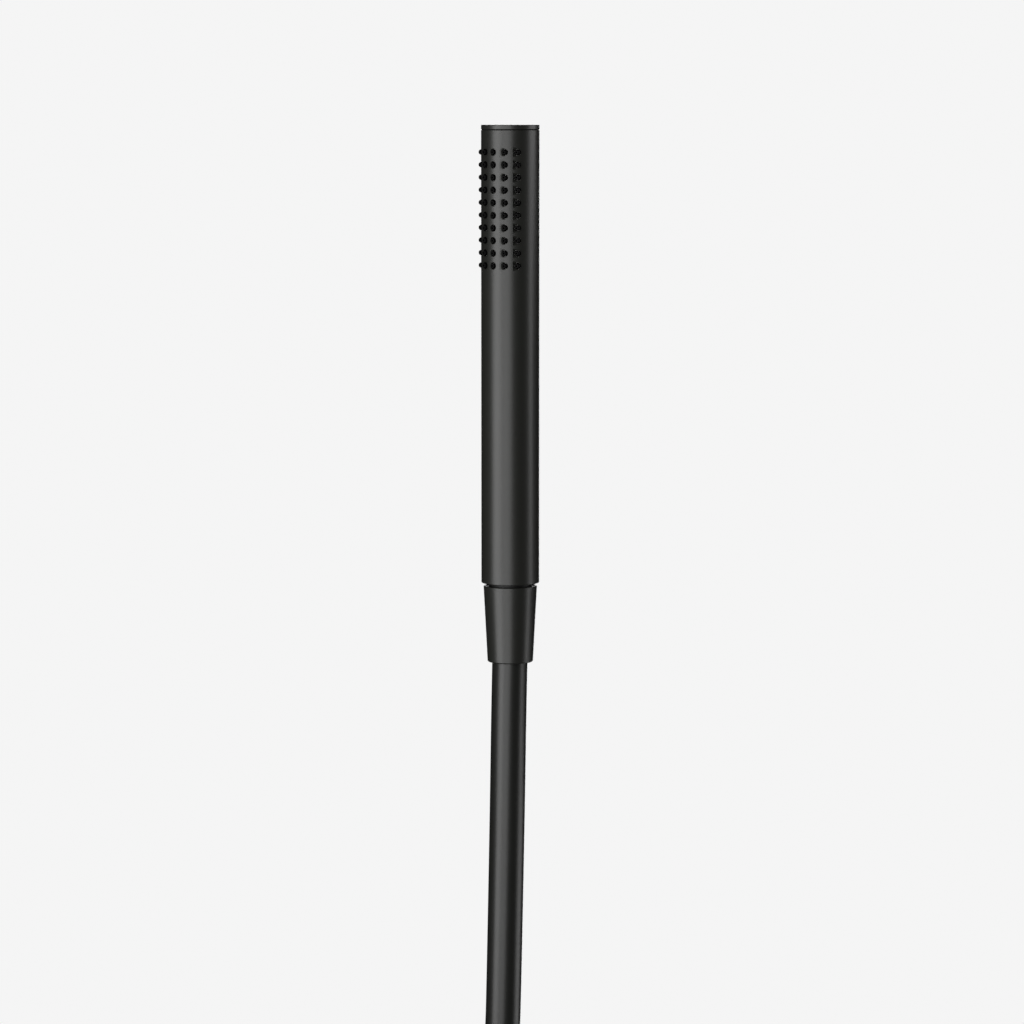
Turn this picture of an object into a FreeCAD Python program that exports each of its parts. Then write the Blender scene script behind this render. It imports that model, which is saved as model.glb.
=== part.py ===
import FreeCAD, Part
import math
import os
import re

import Sketcher

# A slim stick hand shower with its hose. The axis is Z, the spray side faces -Y, and the origin
# is on the axis at mid-height of the conical nut, where a wall holder grips it. Millimetres.

os.makedirs("parts", exist_ok=True)
doc = FreeCAD.newDocument("HandShower")

# ---------------------------------------------------------------- driving sizes

SIZES = [
    ("body_diameter", 25.0, "outside of the handle tube and its cap"),
    ("tube_wall", 1.1, "wall of the handle tube"),
    ("handle_length", 196.7, "cap's top to the tube's lower edge"),
    ("cap_rim", 1.9, "height of the cap's visible rim"),
    ("gasket_thick", 0.4, "flat gasket between the cap's rim and the tube"),
    ("gasket_recess", 0.25, "how far that gasket lies behind the tube's surface"),
    ("cap_neck", 0.9, "how far the cap's neck lies behind the tube's surface"),
    ("cap_spigot", 4.85, "length of the cap's plug, from the tube's upper edge"),
    ("seam_gap", 1.3, "gap between the handle and the nut"),
    ("edge_round", 0.3, "rounding of the handle's edges"),
    ("top_round", 0.4, "rounding of the cap's top and the nut's edges"),
    ("rows", 10, "rows of nozzles"),
    ("row_pitch", 5.35, "distance between rows"),
    ("first_row", 11.6, "cap's top to the first row"),
    ("column_angle", 24.5, "angle between columns, round the tube"),
    ("fan_angle", 6.0, "angle between the jets of two columns"),
    ("nub_base", 2.3, "nozzle diameter where it leaves the tube"),
    ("nub_tip", 1.8, "nozzle diameter at its tip"),
    ("nub_reach", 0.7, "how far a nozzle stands out of the tube"),
    ("nub_room", 0.3, "gap round a nozzle in its hole"),
    ("nub_orifice", 0.8, "jet hole"),
    ("feed_hole", 1.6, "hole behind each nozzle"),
    ("strip_wall", 1.2, "thickness of the rubber strip"),
    ("strip_margin", 3.2, "rubber past the first and last rows"),
    ("strip_edge", 14.0, "angle of rubber past the outer columns"),
    ("fit_gap", 0.05, "clearance of a close fit"),
    ("slide_gap", 0.1, "clearance of a loose or running fit"),
    ("free_gap", 0.3, "clearance of pieces that turn past each other"),
    ("carrier_wall", 1.6, "wall of the nozzle carrier behind the strip"),
    ("carrier_cover", 2.8, "closed end of the carrier"),
    ("carrier_foot", 6.0, "carrier below the strip"),
    ("carrier_ring_drop", 3.0, "middle of the carrier's O-ring below the strip"),
    ("chamber_drop", 0.5, "floor of the carrier's chamber below the strip"),
    ("chamber_floor", 3.0, "thickness of that floor"),
    ("ring_section", 1.8, "thickness of a large O-ring"),
    ("small_section", 1.5, "thickness of a small O-ring"),
    ("ring_squeeze", 0.06, "how far an O-ring presses into its wall"),
    ("groove_share", 0.66, "half width of an O-ring's groove, over the ring's thickness"),
    ("cut_past", 3.0, "how far a cut runs on past the surface"),
    ("pipe_diameter", 12.0, "outside of the waterway pipe and swivel stem"),
    ("pipe_bore", 7.6, "bore of the pipe and of the hose fittings"),
    ("socket_depth", 12.0, "how deep the pipe sits in its sockets"),
    ("socket_wall", 2.6, "wall of the sockets, from the pipe's surface"),
    ("socket_sink", 2.0, "how far the adapter's socket reaches down into its barrel"),
    ("pipe_ring_inset", 4.0, "middle of the pipe's O-rings from its ends"),
    ("thread_diameter", 20.9, "crests of the inlet thread, G1/2"),
    ("thread_length", 8.6, "inlet thread inside the nut"),
    ("thread_chamfer", 0.5, "chamfer at the thread's start, and how far its end lies inside the nut"),
    ("neck_diameter", 18.8, "undercut above the inlet thread, seen in the seam"),
    ("neck_inside", 0.6, "how far that undercut reaches into the tube"),
    ("barrel_length", 18.0, "adapter inside the tube"),
    ("adapter_ring_rise", 4.0, "undercut's end to the middle of the adapter's O-ring"),
    ("nipple_bore", 16.0, "inlet bore that holds the regulator"),
    ("regulator_height", 4.0, "thickness of the flow regulator"),
    ("regulator_play", 0.4, "gap above the flow regulator"),
    ("bore_room", 1.0, "bore's length past the regulator and past the valve"),
    ("valve_play", 0.2, "gap under the non-return valve"),
    ("recess_inside", 3.3, "inner radius of the regulator's ring-shaped recess"),
    ("recess_outside", 6.3, "outer radius of that recess"),
    ("recess_depth", 2.3, "depth of that recess"),
    ("flow_ring", 4.8, "middle radius of the regulator's rubber ring and holes"),
    ("flow_ring_section", 2.0, "thickness of that ring"),
    ("flow_hole", 0.7, "radius of the regulator's holes"),
    ("valve_diameter", 13.9, "outside of the non-return valve"),
    ("valve_length", 14.4, "length of the non-return valve"),
    ("valve_ring_height", 6.4, "valve's foot to the middle of its O-ring"),
    ("chamber_radius", 5.0, "inside of the valve above its seat"),
    ("seat_hole", 3.0, "radius of the valve seat's opening"),
    ("seat_height", 1.6, "thickness of the seat"),
    ("bridge_height", 2.0, "thickness of the bridge that guides the stem"),
    ("bridge_ring", 3.4, "middle radius of the bridge's holes"),
    ("bridge_hole", 1.0, "radius of the bridge's holes"),
    ("poppet_nose", 2.0, "radius of the poppet's nose"),
    ("poppet_radius", 4.2, "radius of the poppet's disc"),
    ("poppet_height", 2.2, "poppet's foot to the top of its disc"),
    ("seal_height", 0.8, "thickness of the poppet's seal"),
    ("stem_radius", 1.05, "poppet's stem"),
    ("stem_proud", 1.0, "stem above the bridge when the valve is shut"),
    ("spring_radius", 2.0, "middle radius of the closing spring"),
    ("wire_radius", 0.25, "radius of the spring's wire"),
    ("nut_top", 23.15, "cone nut at its top"),
    ("nut_foot", 19.65, "cone nut at its foot"),
    ("nut_length", 33.2, "length of the cone nut"),
    ("nut_bore", 21.0, "bore of both nuts' threads"),
    ("washer_diameter", 18.6, "filter and wall washers"),
    ("washer_hole", 12.0, "hole of the washers"),
    ("washer_thick", 2.5, "thickness of the washers"),
    ("mesh_thick", 0.4, "thickness of the filter mesh"),
    ("mesh_hole", 0.5, "radius of the mesh's openings"),
    ("mesh_ring", 1.6, "radius of the mesh's inner ring of openings"),
    ("mesh_pitch", 1.5, "distance between its rings"),
    ("flange_thick", 2.0, "flanges that press on the washers"),
    ("flange_bore", 9.6, "radius of the nut's bore round the washer and flange"),
    ("collar_bore", 9.0, "radius of the nut's bore round the tail's collar"),
    ("collar_room", 5.0, "height of the collar's chamber above the bush"),
    ("bush_height", 1.5, "thickness of the swivel bush"),
    ("head_radius", 6.9, "outside of the tail's socket"),
    ("swivel_ring_rise", 0.6, "bush's top to the middle of the swivel's O-ring"),
    ("stem_rise", 1.6, "ferrule's top to the stem's foot"),
    ("socket_floor_rise", 1.0, "barbs' top to the floor of the tail's socket"),
    ("hose_diameter", 15.35, "outside of the hose"),
    ("hose_entry", 1.0, "how far the hose reaches into the nut"),
    ("hose_room", 0.525, "gap round the hose in the nut's hole"),
    ("hose_squeeze", 0.5, "how far the ferrules squeeze the hose"),
    ("stub_slimming", 0.1, "how much slimmer the hank's stubs are than the hose"),
    ("barb_diameter", 10.4, "barbs inside the hose"),
    ("barb_depth", 0.5, "depth of the barbs"),
    ("barb_slope", 0.3, "height of a barb's underside"),
    ("barb_gap", 0.2, "barbs past the squeezed hose"),
    ("ferrule_wall", 0.7, "wall of the crimped ferrules"),
    ("ferrule_length", 9.4, "length of the ferrules"),
    ("fold_radius", 46.0, "radius of the hank's folds"),
    ("hank_straight", 120.0, "straight length between the hank's folds"),
    ("hank_layers", 3, "layers of hose across the hank"),
    ("layer_pitch", 17.0, "distance between layers"),
    ("hank_x", 30.0, "middle of the hank, sideways"),
    ("hank_z", -314.0, "middle of the hank, height"),
    ("tail_drop", 80.0, "hose end below the hank's lower fold centre"),
    ("entry_stub_length", 34.0, "stub that runs from the free stretch into the hank"),
    ("stub_overlap", 14.0, "how far the lower stub runs up into the hank"),
    ("tie_wall", 1.2, "thickness of the ties"),
    ("tie_height", 12.0, "height of the ties"),
    ("left_tie_z", -298.0, "height of the left tie"),
    ("right_tie_z", -334.0, "height of the right tie"),
    ("wall_neck", 8.2, "radius of the wall tail's neck"),
    ("wall_neck_length", 4.0, "length of that neck"),
    ("wall_flange", 9.3, "radius of the wall tail's flange"),
    ("wall_thread_length", 8.0, "thread of the wall nut below its washer"),
    ("wall_relief", 10.8, "radius of the wall nut's bore round its washer"),
    ("wall_nut_flats", 24.0, "across the flats of the wall nut"),
    ("wall_nut_hex", 9.0, "height of the wall nut's hexagon"),
    ("wall_nut_collar", 23.4, "round collar of the wall nut"),
    ("hex_chamfer", 0.9, "height of the hexagon's chamfers"),
    ("hex_face", 0.4, "how far the chamfers' circle lies outside the flats"),
    ("collar_chamfer", 0.5, "chamfer of the collar"),
    ("neck_proud", 0.6, "tail's neck above the wall nut"),
]

# Free stretch of the hose: straight runs between these points, joined by tangent arcs.
HOSE_ROUTE = [
    (0.0, 0.0, -15.6),
    (0.0, 0.0, -38.0),
    (-0.9, 0.0, -76.0),
    (-2.3, 0.0, -136.0),
    (-4.2, 0.0, -196.0),
]

sheet = doc.addObject("Spreadsheet::Sheet", "Sizes")
for row, (alias, number, meaning) in enumerate(SIZES, start=1):
    sheet.set(f"A{row}", alias)
    sheet.set(f"B{row}", str(number))
    sheet.set(f"C{row}", meaning)
    sheet.setAlias(f"B{row}", alias)
doc.recompute()
SIZE_NAMES = {alias for alias, number, meaning in SIZES}


def bound(text):
    """The expression with each size's name pointing at its cell."""

    def point_at_cell(word):
        return "Sizes." + word[0] if word[0] in SIZE_NAMES else word[0]

    return re.sub(r"[a-z_]+", point_at_cell, text)


def value(text):
    """The number that an expression gives now."""
    return float(sheet.evalExpression(bound(text)))


# Heights and radii that several pieces share, worked out from the sizes.
tube_foot = "(nut_length / 2 + seam_gap)"
cap_top = "(nut_length / 2 + seam_gap + handle_length)"
tube_top = f"({cap_top} - cap_rim - gasket_thick)"
tube_inside = "(body_diameter / 2 - tube_wall)"
seat_radius = f"({tube_inside} - slide_gap)"
top_row = f"({cap_top} - first_row)"
last_row = f"({top_row} - (rows - 1) * row_pitch)"
strip_top = f"({top_row} + strip_margin)"
strip_foot = f"({last_row} - strip_margin)"
strip_inside = f"({tube_inside} - fit_gap - strip_wall)"
strip_arc = "(4 * column_angle + 2 * strip_edge)"
carrier_inside = f"({strip_inside} - carrier_wall)"
carrier_top = f"({tube_top} - cap_spigot)"
nipple_foot = "(nut_length / 2 - thread_length)"
pipe_radius = "(pipe_diameter / 2)"
socket_radius = "(pipe_diameter / 2 + fit_gap)"
hose_end = "(hose_entry - nut_length / 2)"
stem_foot = "(hose_entry - nut_length / 2 + ferrule_length + stem_rise)"
socket_outside = "(pipe_diameter / 2 + socket_wall)"
barb_length = "(ferrule_length + barb_gap)"

COLUMNS = (-2, -1, 0, 1, 2)

# ---------------------------------------------------------------- modelling helpers


def origin_plane(body, role):
    for feature in body.Origin.OriginFeatures:
        if feature.Role == role:
            return feature
    raise RuntimeError(f"{body.Name} has no {role}")


def new_body(node, height="0", across="0", depth="0"):
    """A body with its foot at the given place. Its Label is the node's name."""
    body = doc.addObject("PartDesign::Body", node)
    body.Label = node
    body.setExpression("Placement.Base.x", bound(across))
    body.setExpression("Placement.Base.y", bound(depth))
    body.setExpression("Placement.Base.z", bound(height))
    return body


def new_sketch(body, role="XZ_Plane"):
    sketch = body.newObject("Sketcher::SketchObject", body.Name + "_sketch")
    sketch.AttachmentSupport = [(origin_plane(body, role), "")]
    sketch.MapMode = "FlatFace"
    return sketch


def pin_down(sketch, geometry, end, across, up):
    """Hold one end of a line at a place given by two expressions, both zero or more."""
    if across == "0":
        sketch.addConstraint(Sketcher.Constraint("PointOnObject", geometry, end, -2))
    else:
        index = sketch.addConstraint(
            Sketcher.Constraint("DistanceX", -1, 1, geometry, end, value(across))
        )
        sketch.setExpression(f"Constraints[{index}]", bound(across))
    if up == "0":
        sketch.addConstraint(Sketcher.Constraint("PointOnObject", geometry, end, -1))
    else:
        index = sketch.addConstraint(Sketcher.Constraint("DistanceY", -1, 1, geometry, end, value(up)))
        sketch.setExpression(f"Constraints[{index}]", bound(up))


def draw_outline(sketch, outline):
    """A closed outline through places given as pairs of expressions."""
    places = [FreeCAD.Vector(value(across), value(up), 0) for across, up in outline]
    count = len(places)
    for k in range(count):
        sketch.addGeometry(Part.LineSegment(places[k], places[(k + 1) % count]))
    for k in range(count):
        sketch.addConstraint(Sketcher.Constraint("Coincident", k, 2, (k + 1) % count, 1))
        pin_down(sketch, k, 1, *outline[k])


def add_feature(body, kind, profile, **settings):
    feature = body.newObject("PartDesign::" + kind, f"{body.Name}_{kind}")
    feature.Profile = profile
    for name, setting in settings.items():
        setattr(feature, name, setting)
    return feature


def turn(body, outline, arc="360"):
    """Turn an outline of (radius, height) pairs about the body's axis, centred on the spray side."""
    return spin_outline(body, "Revolution", outline, arc)


def cut_round(body, outline, arc="360"):
    """Cut a turned shape out of the body."""
    return spin_outline(body, "Groove", outline, arc)


def spin_outline(body, kind, outline, arc):
    sketch = new_sketch(body)
    facing_spray = FreeCAD.Rotation(FreeCAD.Vector(0, -1, 0), 90)
    sketch.AttachmentOffset = FreeCAD.Placement(FreeCAD.Vector(), facing_spray)
    draw_outline(sketch, outline)
    feature = add_feature(body, kind, sketch, ReferenceAxis=(sketch, ["V_Axis"]), Midplane=True)
    feature.setExpression("Angle", bound(arc))
    return feature


def turned_body(node, outline, height="0", across="0", depth="0"):
    body = new_body(node, height, across, depth)
    turn(body, outline)
    return body


def nozzle_grid(body, kind, outline, inner):
    """Spin an outline about each jet's line, then repeat it down the rows.

    The outline runs outward from a point 'inner' millimetres inside the tube's surface."""
    for column in COLUMNS:
        sketch = new_sketch(body)
        around = f"({column}) * column_angle"
        lean = f"({column}) * fan_angle"
        sketch.AttachmentOffset = FreeCAD.Placement(
            FreeCAD.Vector(), FreeCAD.Rotation(FreeCAD.Vector(0, -1, 0), 90 - value(lean))
        )
        sketch.setExpression("AttachmentOffset.Rotation.Angle", bound(f"90 - ({lean})"))
        sketch.setExpression(
            "AttachmentOffset.Base.x",
            bound(f"body_diameter / 2 * sin({around}) - ({inner}) * sin({lean})"),
        )
        sketch.setExpression("AttachmentOffset.Base.y", bound(top_row))
        sketch.setExpression(
            "AttachmentOffset.Base.z",
            bound(f"body_diameter / 2 * cos({around}) - ({inner}) * cos({lean})"),
        )
        draw_outline(sketch, outline)
        jet = add_feature(body, kind, sketch, ReferenceAxis=(sketch, ["H_Axis"]))
        pattern = body.newObject("PartDesign::LinearPattern", body.Name + "_rows")
        pattern.Originals = [jet]
        pattern.Direction = (origin_plane(body, "Z_Axis"), [""])
        pattern.Reversed = True
        pattern.setExpression("Length", bound("(rows - 1) * row_pitch"))
        pattern.setExpression("Occurrences", bound("rows"))
        body.Tip = pattern


def hole_ring(body, count, ring_radius, hole_radius, start="0"):
    """Cut a ring of round holes upward from a height of the body."""
    sketch = new_sketch(body, "XY_Plane")
    sketch.setExpression("AttachmentOffset.Base.z", bound(start))
    centre = FreeCAD.Vector(value(ring_radius), 0, 0)
    sketch.addGeometry(Part.Circle(centre, FreeCAD.Vector(0, 0, 1), value(hole_radius)))
    index = sketch.addConstraint(Sketcher.Constraint("Radius", 0, value(hole_radius)))
    sketch.setExpression(f"Constraints[{index}]", bound(hole_radius))
    pin_down(sketch, 0, 3, ring_radius, "0")
    hole = add_feature(body, "Pocket", sketch, Type=1, Reversed=True)
    pattern = body.newObject("PartDesign::PolarPattern", body.Name + "_ring")
    pattern.Originals = [hole]
    pattern.Axis = (origin_plane(body, "Z_Axis"), [""])
    pattern.Occurrences = count
    body.Tip = pattern


def round_edges(body, radius, wanted):
    """Round the body's circular edges that lie at the wanted (radius, height) places."""
    doc.recompute()
    names = []
    for number, edge in enumerate(body.Tip.Shape.Edges, start=1):
        circle = edge.Curve
        if not isinstance(circle, Part.Circle):
            continue
        for ring, height in wanted:
            near_ring = abs(circle.Radius - value(ring)) < 0.01
            if near_ring and abs(circle.Center.z - value(height)) < 0.01:
                names.append(f"Edge{number}")
    if len(names) != len(wanted):
        raise RuntimeError(f"{body.Name}: {len(names)} edges found of {len(wanted)}")
    fillet = body.newObject("PartDesign::Fillet", body.Name + "_round")
    fillet.Base = (body.Tip if fillet != body.Tip else fillet.BaseFeature, names)
    fillet.setExpression("Radius", bound(radius))
    body.Tip = fillet


def o_ring(node, wall, section, squeeze, height):
    """A ring that presses outward against a wall of the given radius."""
    ring = doc.addObject("Part::Torus", node)
    ring.Label = node
    ring.setExpression("Radius1", bound(f"{wall} - {section} / 2 + ({squeeze})"))
    ring.setExpression("Radius2", bound(f"{section} / 2"))
    ring.setExpression("Placement.Base.z", bound(height))
    return ring


def groove_outline(wall, section, squeeze, middle):
    """The groove that an O-ring sits in, from its floor to just past the wall."""
    floor = f"({wall} - {section} + ({squeeze}))"
    low = f"({middle} - {section} * groove_share)"
    high = f"({middle} + {section} * groove_share)"
    outside = f"({wall} + cut_past)"
    return [(floor, low), (outside, low), (outside, high), (floor, high)]


def stadium(sketch, width, centres):
    """Two half circles joined by straight sides, centred on the sketch's origin and upright."""
    half = value(f"({width}) / 2")
    reach = value(f"({centres}) / 2")
    up = FreeCAD.Vector(0, 0, 1)
    top = Part.Circle(FreeCAD.Vector(0, reach, 0), up, half)
    low = Part.Circle(FreeCAD.Vector(0, -reach, 0), up, half)
    right = Part.LineSegment(FreeCAD.Vector(half, -reach, 0), FreeCAD.Vector(half, reach, 0))
    left = Part.LineSegment(FreeCAD.Vector(-half, reach, 0), FreeCAD.Vector(-half, -reach, 0))
    first = sketch.GeometryCount
    sketch.addGeometry(right)
    sketch.addGeometry(Part.ArcOfCircle(top, 0, math.pi))
    sketch.addGeometry(left)
    sketch.addGeometry(Part.ArcOfCircle(low, math.pi, 2 * math.pi))
    sketch.addConstraint(Sketcher.Constraint("Tangent", first, 2, first + 1, 1))
    sketch.addConstraint(Sketcher.Constraint("Tangent", first + 1, 2, first + 2, 1))
    sketch.addConstraint(Sketcher.Constraint("Tangent", first + 2, 2, first + 3, 1))
    sketch.addConstraint(Sketcher.Constraint("Tangent", first + 3, 2, first, 1))
    sketch.addConstraint(Sketcher.Constraint("PointOnObject", first + 1, 3, -2))
    sketch.addConstraint(Sketcher.Constraint("Symmetric", first + 1, 3, first + 3, 3, -1, 1))
    index = sketch.addConstraint(Sketcher.Constraint("Radius", first + 1, half))
    sketch.setExpression(f"Constraints[{index}]", bound(f"({width}) / 2"))
    index = sketch.addConstraint(
        Sketcher.Constraint("DistanceY", first + 3, 3, first + 1, 3, 2 * reach)
    )
    sketch.setExpression(f"Constraints[{index}]", bound(centres))


def rounded_route(points):
    """Straight runs between the points, joined by the largest tangent arcs that fit."""
    corners = [FreeCAD.Vector(*point) for point in points]
    edges = []
    radii = []
    start = corners[0]
    for before, corner, after in zip(corners, corners[1:], corners[2:]):
        back = (before - corner).normalize()
        ahead = (after - corner).normalize()
        turn_angle = math.pi - back.getAngle(ahead)
        setback = 0.45 * min((corner - before).Length, (after - corner).Length)
        radius = setback / math.tan(turn_angle / 2)
        arc_start = corner + back * setback
        arc_end = corner + ahead * setback
        centre = corner + (back + ahead).normalize() * (radius / math.cos(turn_angle / 2))
        middle = centre + (corner - centre).normalize() * radius
        edges.append(Part.LineSegment(start, arc_start).toShape())
        edges.append(Part.Arc(arc_start, middle, arc_end).toShape())
        radii.append(radius)
        start = arc_end
    edges.append(Part.LineSegment(start, corners[-1]).toShape())
    return Part.Wire(edges), radii


# ---------------------------------------------------------------- handle

# Handle tube: brass tube with five columns of holes for the nozzles.
tube_height = f"({tube_top} - {tube_foot})"
handle_tube = new_body("handle_tube")
turn(
    handle_tube,
    [
        (tube_inside, tube_foot),
        ("body_diameter / 2", tube_foot),
        ("body_diameter / 2", tube_top),
        (tube_inside, tube_top),
    ],
)
round_edges(handle_tube, "edge_round", [("body_diameter / 2", tube_foot)])
hole_depth = "(tube_wall * 2)"
hole_radius = "(nub_base / 2 + nub_room)"
hole_end = f"({hole_depth} + cut_past)"
hole_outline = [("0", "0"), (hole_end, "0"), (hole_end, hole_radius), ("0", hole_radius)]
nozzle_grid(handle_tube, "Groove", hole_outline, hole_depth)

# End cap: rim, recessed neck that carries a flat gasket, and a plug with an O-ring groove.
cap_ring_z = f"({tube_top} - cap_spigot / 2)"
cap_neck_radius = "(body_diameter / 2 - cap_neck)"
rim_foot = f"({cap_top} - cap_rim)"
end_cap = turned_body(
    "end_cap",
    [
        ("0", carrier_top),
        (seat_radius, carrier_top),
        (seat_radius, tube_top),
        (cap_neck_radius, tube_top),
        (cap_neck_radius, rim_foot),
        ("body_diameter / 2", rim_foot),
        ("body_diameter / 2", cap_top),
        ("0", cap_top),
    ],
)
round_edges(end_cap, "top_round", [("body_diameter / 2", cap_top)])
cut_round(end_cap, groove_outline(tube_inside, "ring_section", "ring_squeeze", cap_ring_z))
o_ring("cap_o_ring", tube_inside, "ring_section", "ring_squeeze", cap_ring_z)

# Cap gasket: flat black rubber ring that shows as a thin dark line under the rim.
turned_body(
    "cap_gasket",
    [
        (cap_neck_radius, "0"),
        ("body_diameter / 2 - gasket_recess", "0"),
        ("body_diameter / 2 - gasket_recess", "gasket_thick"),
        (cap_neck_radius, "gasket_thick"),
    ],
    tube_top,
)

# Nozzle strip: an arc of silicone rubber behind the holes, with a nub and a jet hole at each.
nozzle_strip = new_body("nozzle_strip")
strip_outside = f"({tube_inside} - fit_gap)"
turn(
    nozzle_strip,
    [
        (strip_inside, strip_foot),
        (strip_outside, strip_foot),
        (strip_outside, strip_top),
        (strip_inside, strip_top),
    ],
    strip_arc,
)
nub_root = "(tube_wall + strip_wall / 2)"
nub_end = f"({nub_root} + nub_reach)"
nub_outline = [
    ("0", "0"),
    (nub_end, "0"),
    (nub_end, "nub_tip / 2"),
    (nub_root, "nub_base / 2"),
    ("0", "nub_base / 2"),
]
nozzle_grid(nozzle_strip, "Revolution", nub_outline, nub_root)
jet_start = "(tube_wall + strip_wall * 2)"
jet_end = f"({jet_start} + nub_reach * 2)"
jet_outline = [
    ("0", "0"),
    (jet_end, "0"),
    (jet_end, "nub_orifice / 2"),
    ("0", "nub_orifice / 2"),
]
nozzle_grid(nozzle_strip, "Groove", jet_outline, jet_start)

# Nozzle carrier: closed plastic chamber that feeds the strip, with a socket for the pipe.
carrier_foot_z = f"({strip_foot} - carrier_foot)"
chamber_top = f"({carrier_top} - carrier_cover)"
chamber_foot = f"({strip_foot} - chamber_drop)"
socket_floor = f"({chamber_foot} - chamber_floor)"
carrier_end = f"({socket_floor} - socket_depth)"
carrier_ring_z = f"({strip_foot} - carrier_ring_drop)"
nozzle_carrier = turned_body(
    "nozzle_carrier",
    [
        ("0", chamber_top),
        (carrier_inside, chamber_top),
        (carrier_inside, chamber_foot),
        ("pipe_bore / 2", chamber_foot),
        ("pipe_bore / 2", socket_floor),
        (socket_radius, socket_floor),
        (socket_radius, carrier_end),
        (socket_outside, carrier_end),
        (socket_outside, carrier_foot_z),
        (seat_radius, carrier_foot_z),
        (seat_radius, carrier_top),
        ("0", carrier_top),
    ],
)
cut_round(
    nozzle_carrier,
    groove_outline(tube_inside, "ring_section", "ring_squeeze", carrier_ring_z),
)
pocket_outside = f"({tube_inside} + cut_past)"
cut_round(
    nozzle_carrier,
    [
        (strip_inside, strip_foot),
        (pocket_outside, strip_foot),
        (pocket_outside, strip_top),
        (strip_inside, strip_top),
    ],
    strip_arc,
)
feed_start = "(tube_wall + strip_wall + carrier_wall * 2)"
feed_end = f"({feed_start} + cut_past)"
feed_outline = [("0", "0"), (feed_end, "0"), (feed_end, "feed_hole / 2"), ("0", "feed_hole / 2")]
nozzle_grid(nozzle_carrier, "Groove", feed_outline, feed_start)
o_ring("carrier_o_ring", tube_inside, "ring_section", "ring_squeeze", carrier_ring_z)

# Inlet adapter: brass, with the G1/2 nipple below, an undercut above its thread, and the pipe's
# socket on top.
adapter_neck_top = f"({tube_foot} + neck_inside)"
adapter_barrel_top = f"({adapter_neck_top} + barrel_length)"
adapter_top = f"({adapter_barrel_top} + socket_depth - socket_sink)"
adapter_floor = f"({adapter_top} - socket_depth)"
valve_bore = "(valve_diameter / 2 + fit_gap)"
regulator_top = f"({nipple_foot} + regulator_height + bore_room)"
valve_top = f"({regulator_top} + valve_length + bore_room)"
adapter_ring_z = f"({adapter_neck_top} + adapter_ring_rise)"
thread_end = "(nut_length / 2 - thread_chamfer)"
inlet_adapter = turned_body(
    "inlet_adapter",
    [
        ("nipple_bore / 2", nipple_foot),
        ("thread_diameter / 2 - thread_chamfer", nipple_foot),
        ("thread_diameter / 2", f"({nipple_foot} + thread_chamfer)"),
        ("thread_diameter / 2", thread_end),
        ("neck_diameter / 2", thread_end),
        ("neck_diameter / 2", adapter_neck_top),
        (seat_radius, adapter_neck_top),
        (seat_radius, adapter_barrel_top),
        (socket_outside, adapter_barrel_top),
        (socket_outside, adapter_top),
        (socket_radius, adapter_top),
        (socket_radius, adapter_floor),
        ("pipe_bore / 2", adapter_floor),
        ("pipe_bore / 2", valve_top),
        (valve_bore, valve_top),
        (valve_bore, regulator_top),
        ("nipple_bore / 2", regulator_top),
    ],
)
cut_round(
    inlet_adapter,
    groove_outline(tube_inside, "ring_section", "ring_squeeze", adapter_ring_z),
)
o_ring("adapter_o_ring", tube_inside, "ring_section", "ring_squeeze", adapter_ring_z)

# Waterway pipe: plain plastic pipe with an O-ring groove near each end, and its two rings.
upper_ring_z = f"({socket_floor} - pipe_ring_inset)"
lower_ring_z = f"({adapter_floor} + pipe_ring_inset)"
waterway_tube = turned_body(
    "waterway_tube",
    [
        ("pipe_bore / 2", adapter_floor),
        (pipe_radius, adapter_floor),
        (pipe_radius, socket_floor),
        ("pipe_bore / 2", socket_floor),
    ],
)
pipe_rings = []
for number, ring_z in enumerate((lower_ring_z, upper_ring_z), start=1):
    outline = groove_outline(socket_radius, "small_section", "ring_squeeze", ring_z)
    cut_round(waterway_tube, outline)
    ring = o_ring(f"pipe_ring_{number}", socket_radius, "small_section", "ring_squeeze", ring_z)
    pipe_rings.append(ring)
waterway_o_rings = doc.addObject("Part::Compound", "waterway_o_rings")
waterway_o_rings.Label = "waterway_o_rings"
waterway_o_rings.Links = pipe_rings

# ---------------------------------------------------------------- inlet parts

# Flow regulator: a plastic disc with a ring-shaped recess, holes, and a rubber ring in it.
regulator_foot = f"({regulator_top} - regulator_play - regulator_height)"
regulator_outside = "(nipple_bore / 2 - slide_gap)"
flow_regulator = turned_body(
    "flow_regulator",
    [
        ("0", "0"),
        ("recess_inside", "0"),
        ("recess_inside", "recess_depth"),
        ("recess_outside", "recess_depth"),
        ("recess_outside", "0"),
        (regulator_outside, "0"),
        (regulator_outside, "regulator_height"),
        ("0", "regulator_height"),
    ],
    regulator_foot,
)
hole_ring(flow_regulator, 8, "flow_ring", "flow_hole", "recess_depth / 2")
regulator_ring = doc.addObject("Part::Torus", "regulator_ring")
regulator_ring.Label = "regulator_ring"
regulator_ring.setExpression("Radius1", bound("flow_ring"))
regulator_ring.setExpression("Radius2", bound("flow_ring_section / 2"))
regulator_ring.setExpression(
    "Placement.Base.z", bound(f"{regulator_foot} + recess_depth - flow_ring_section / 2")
)

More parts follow.
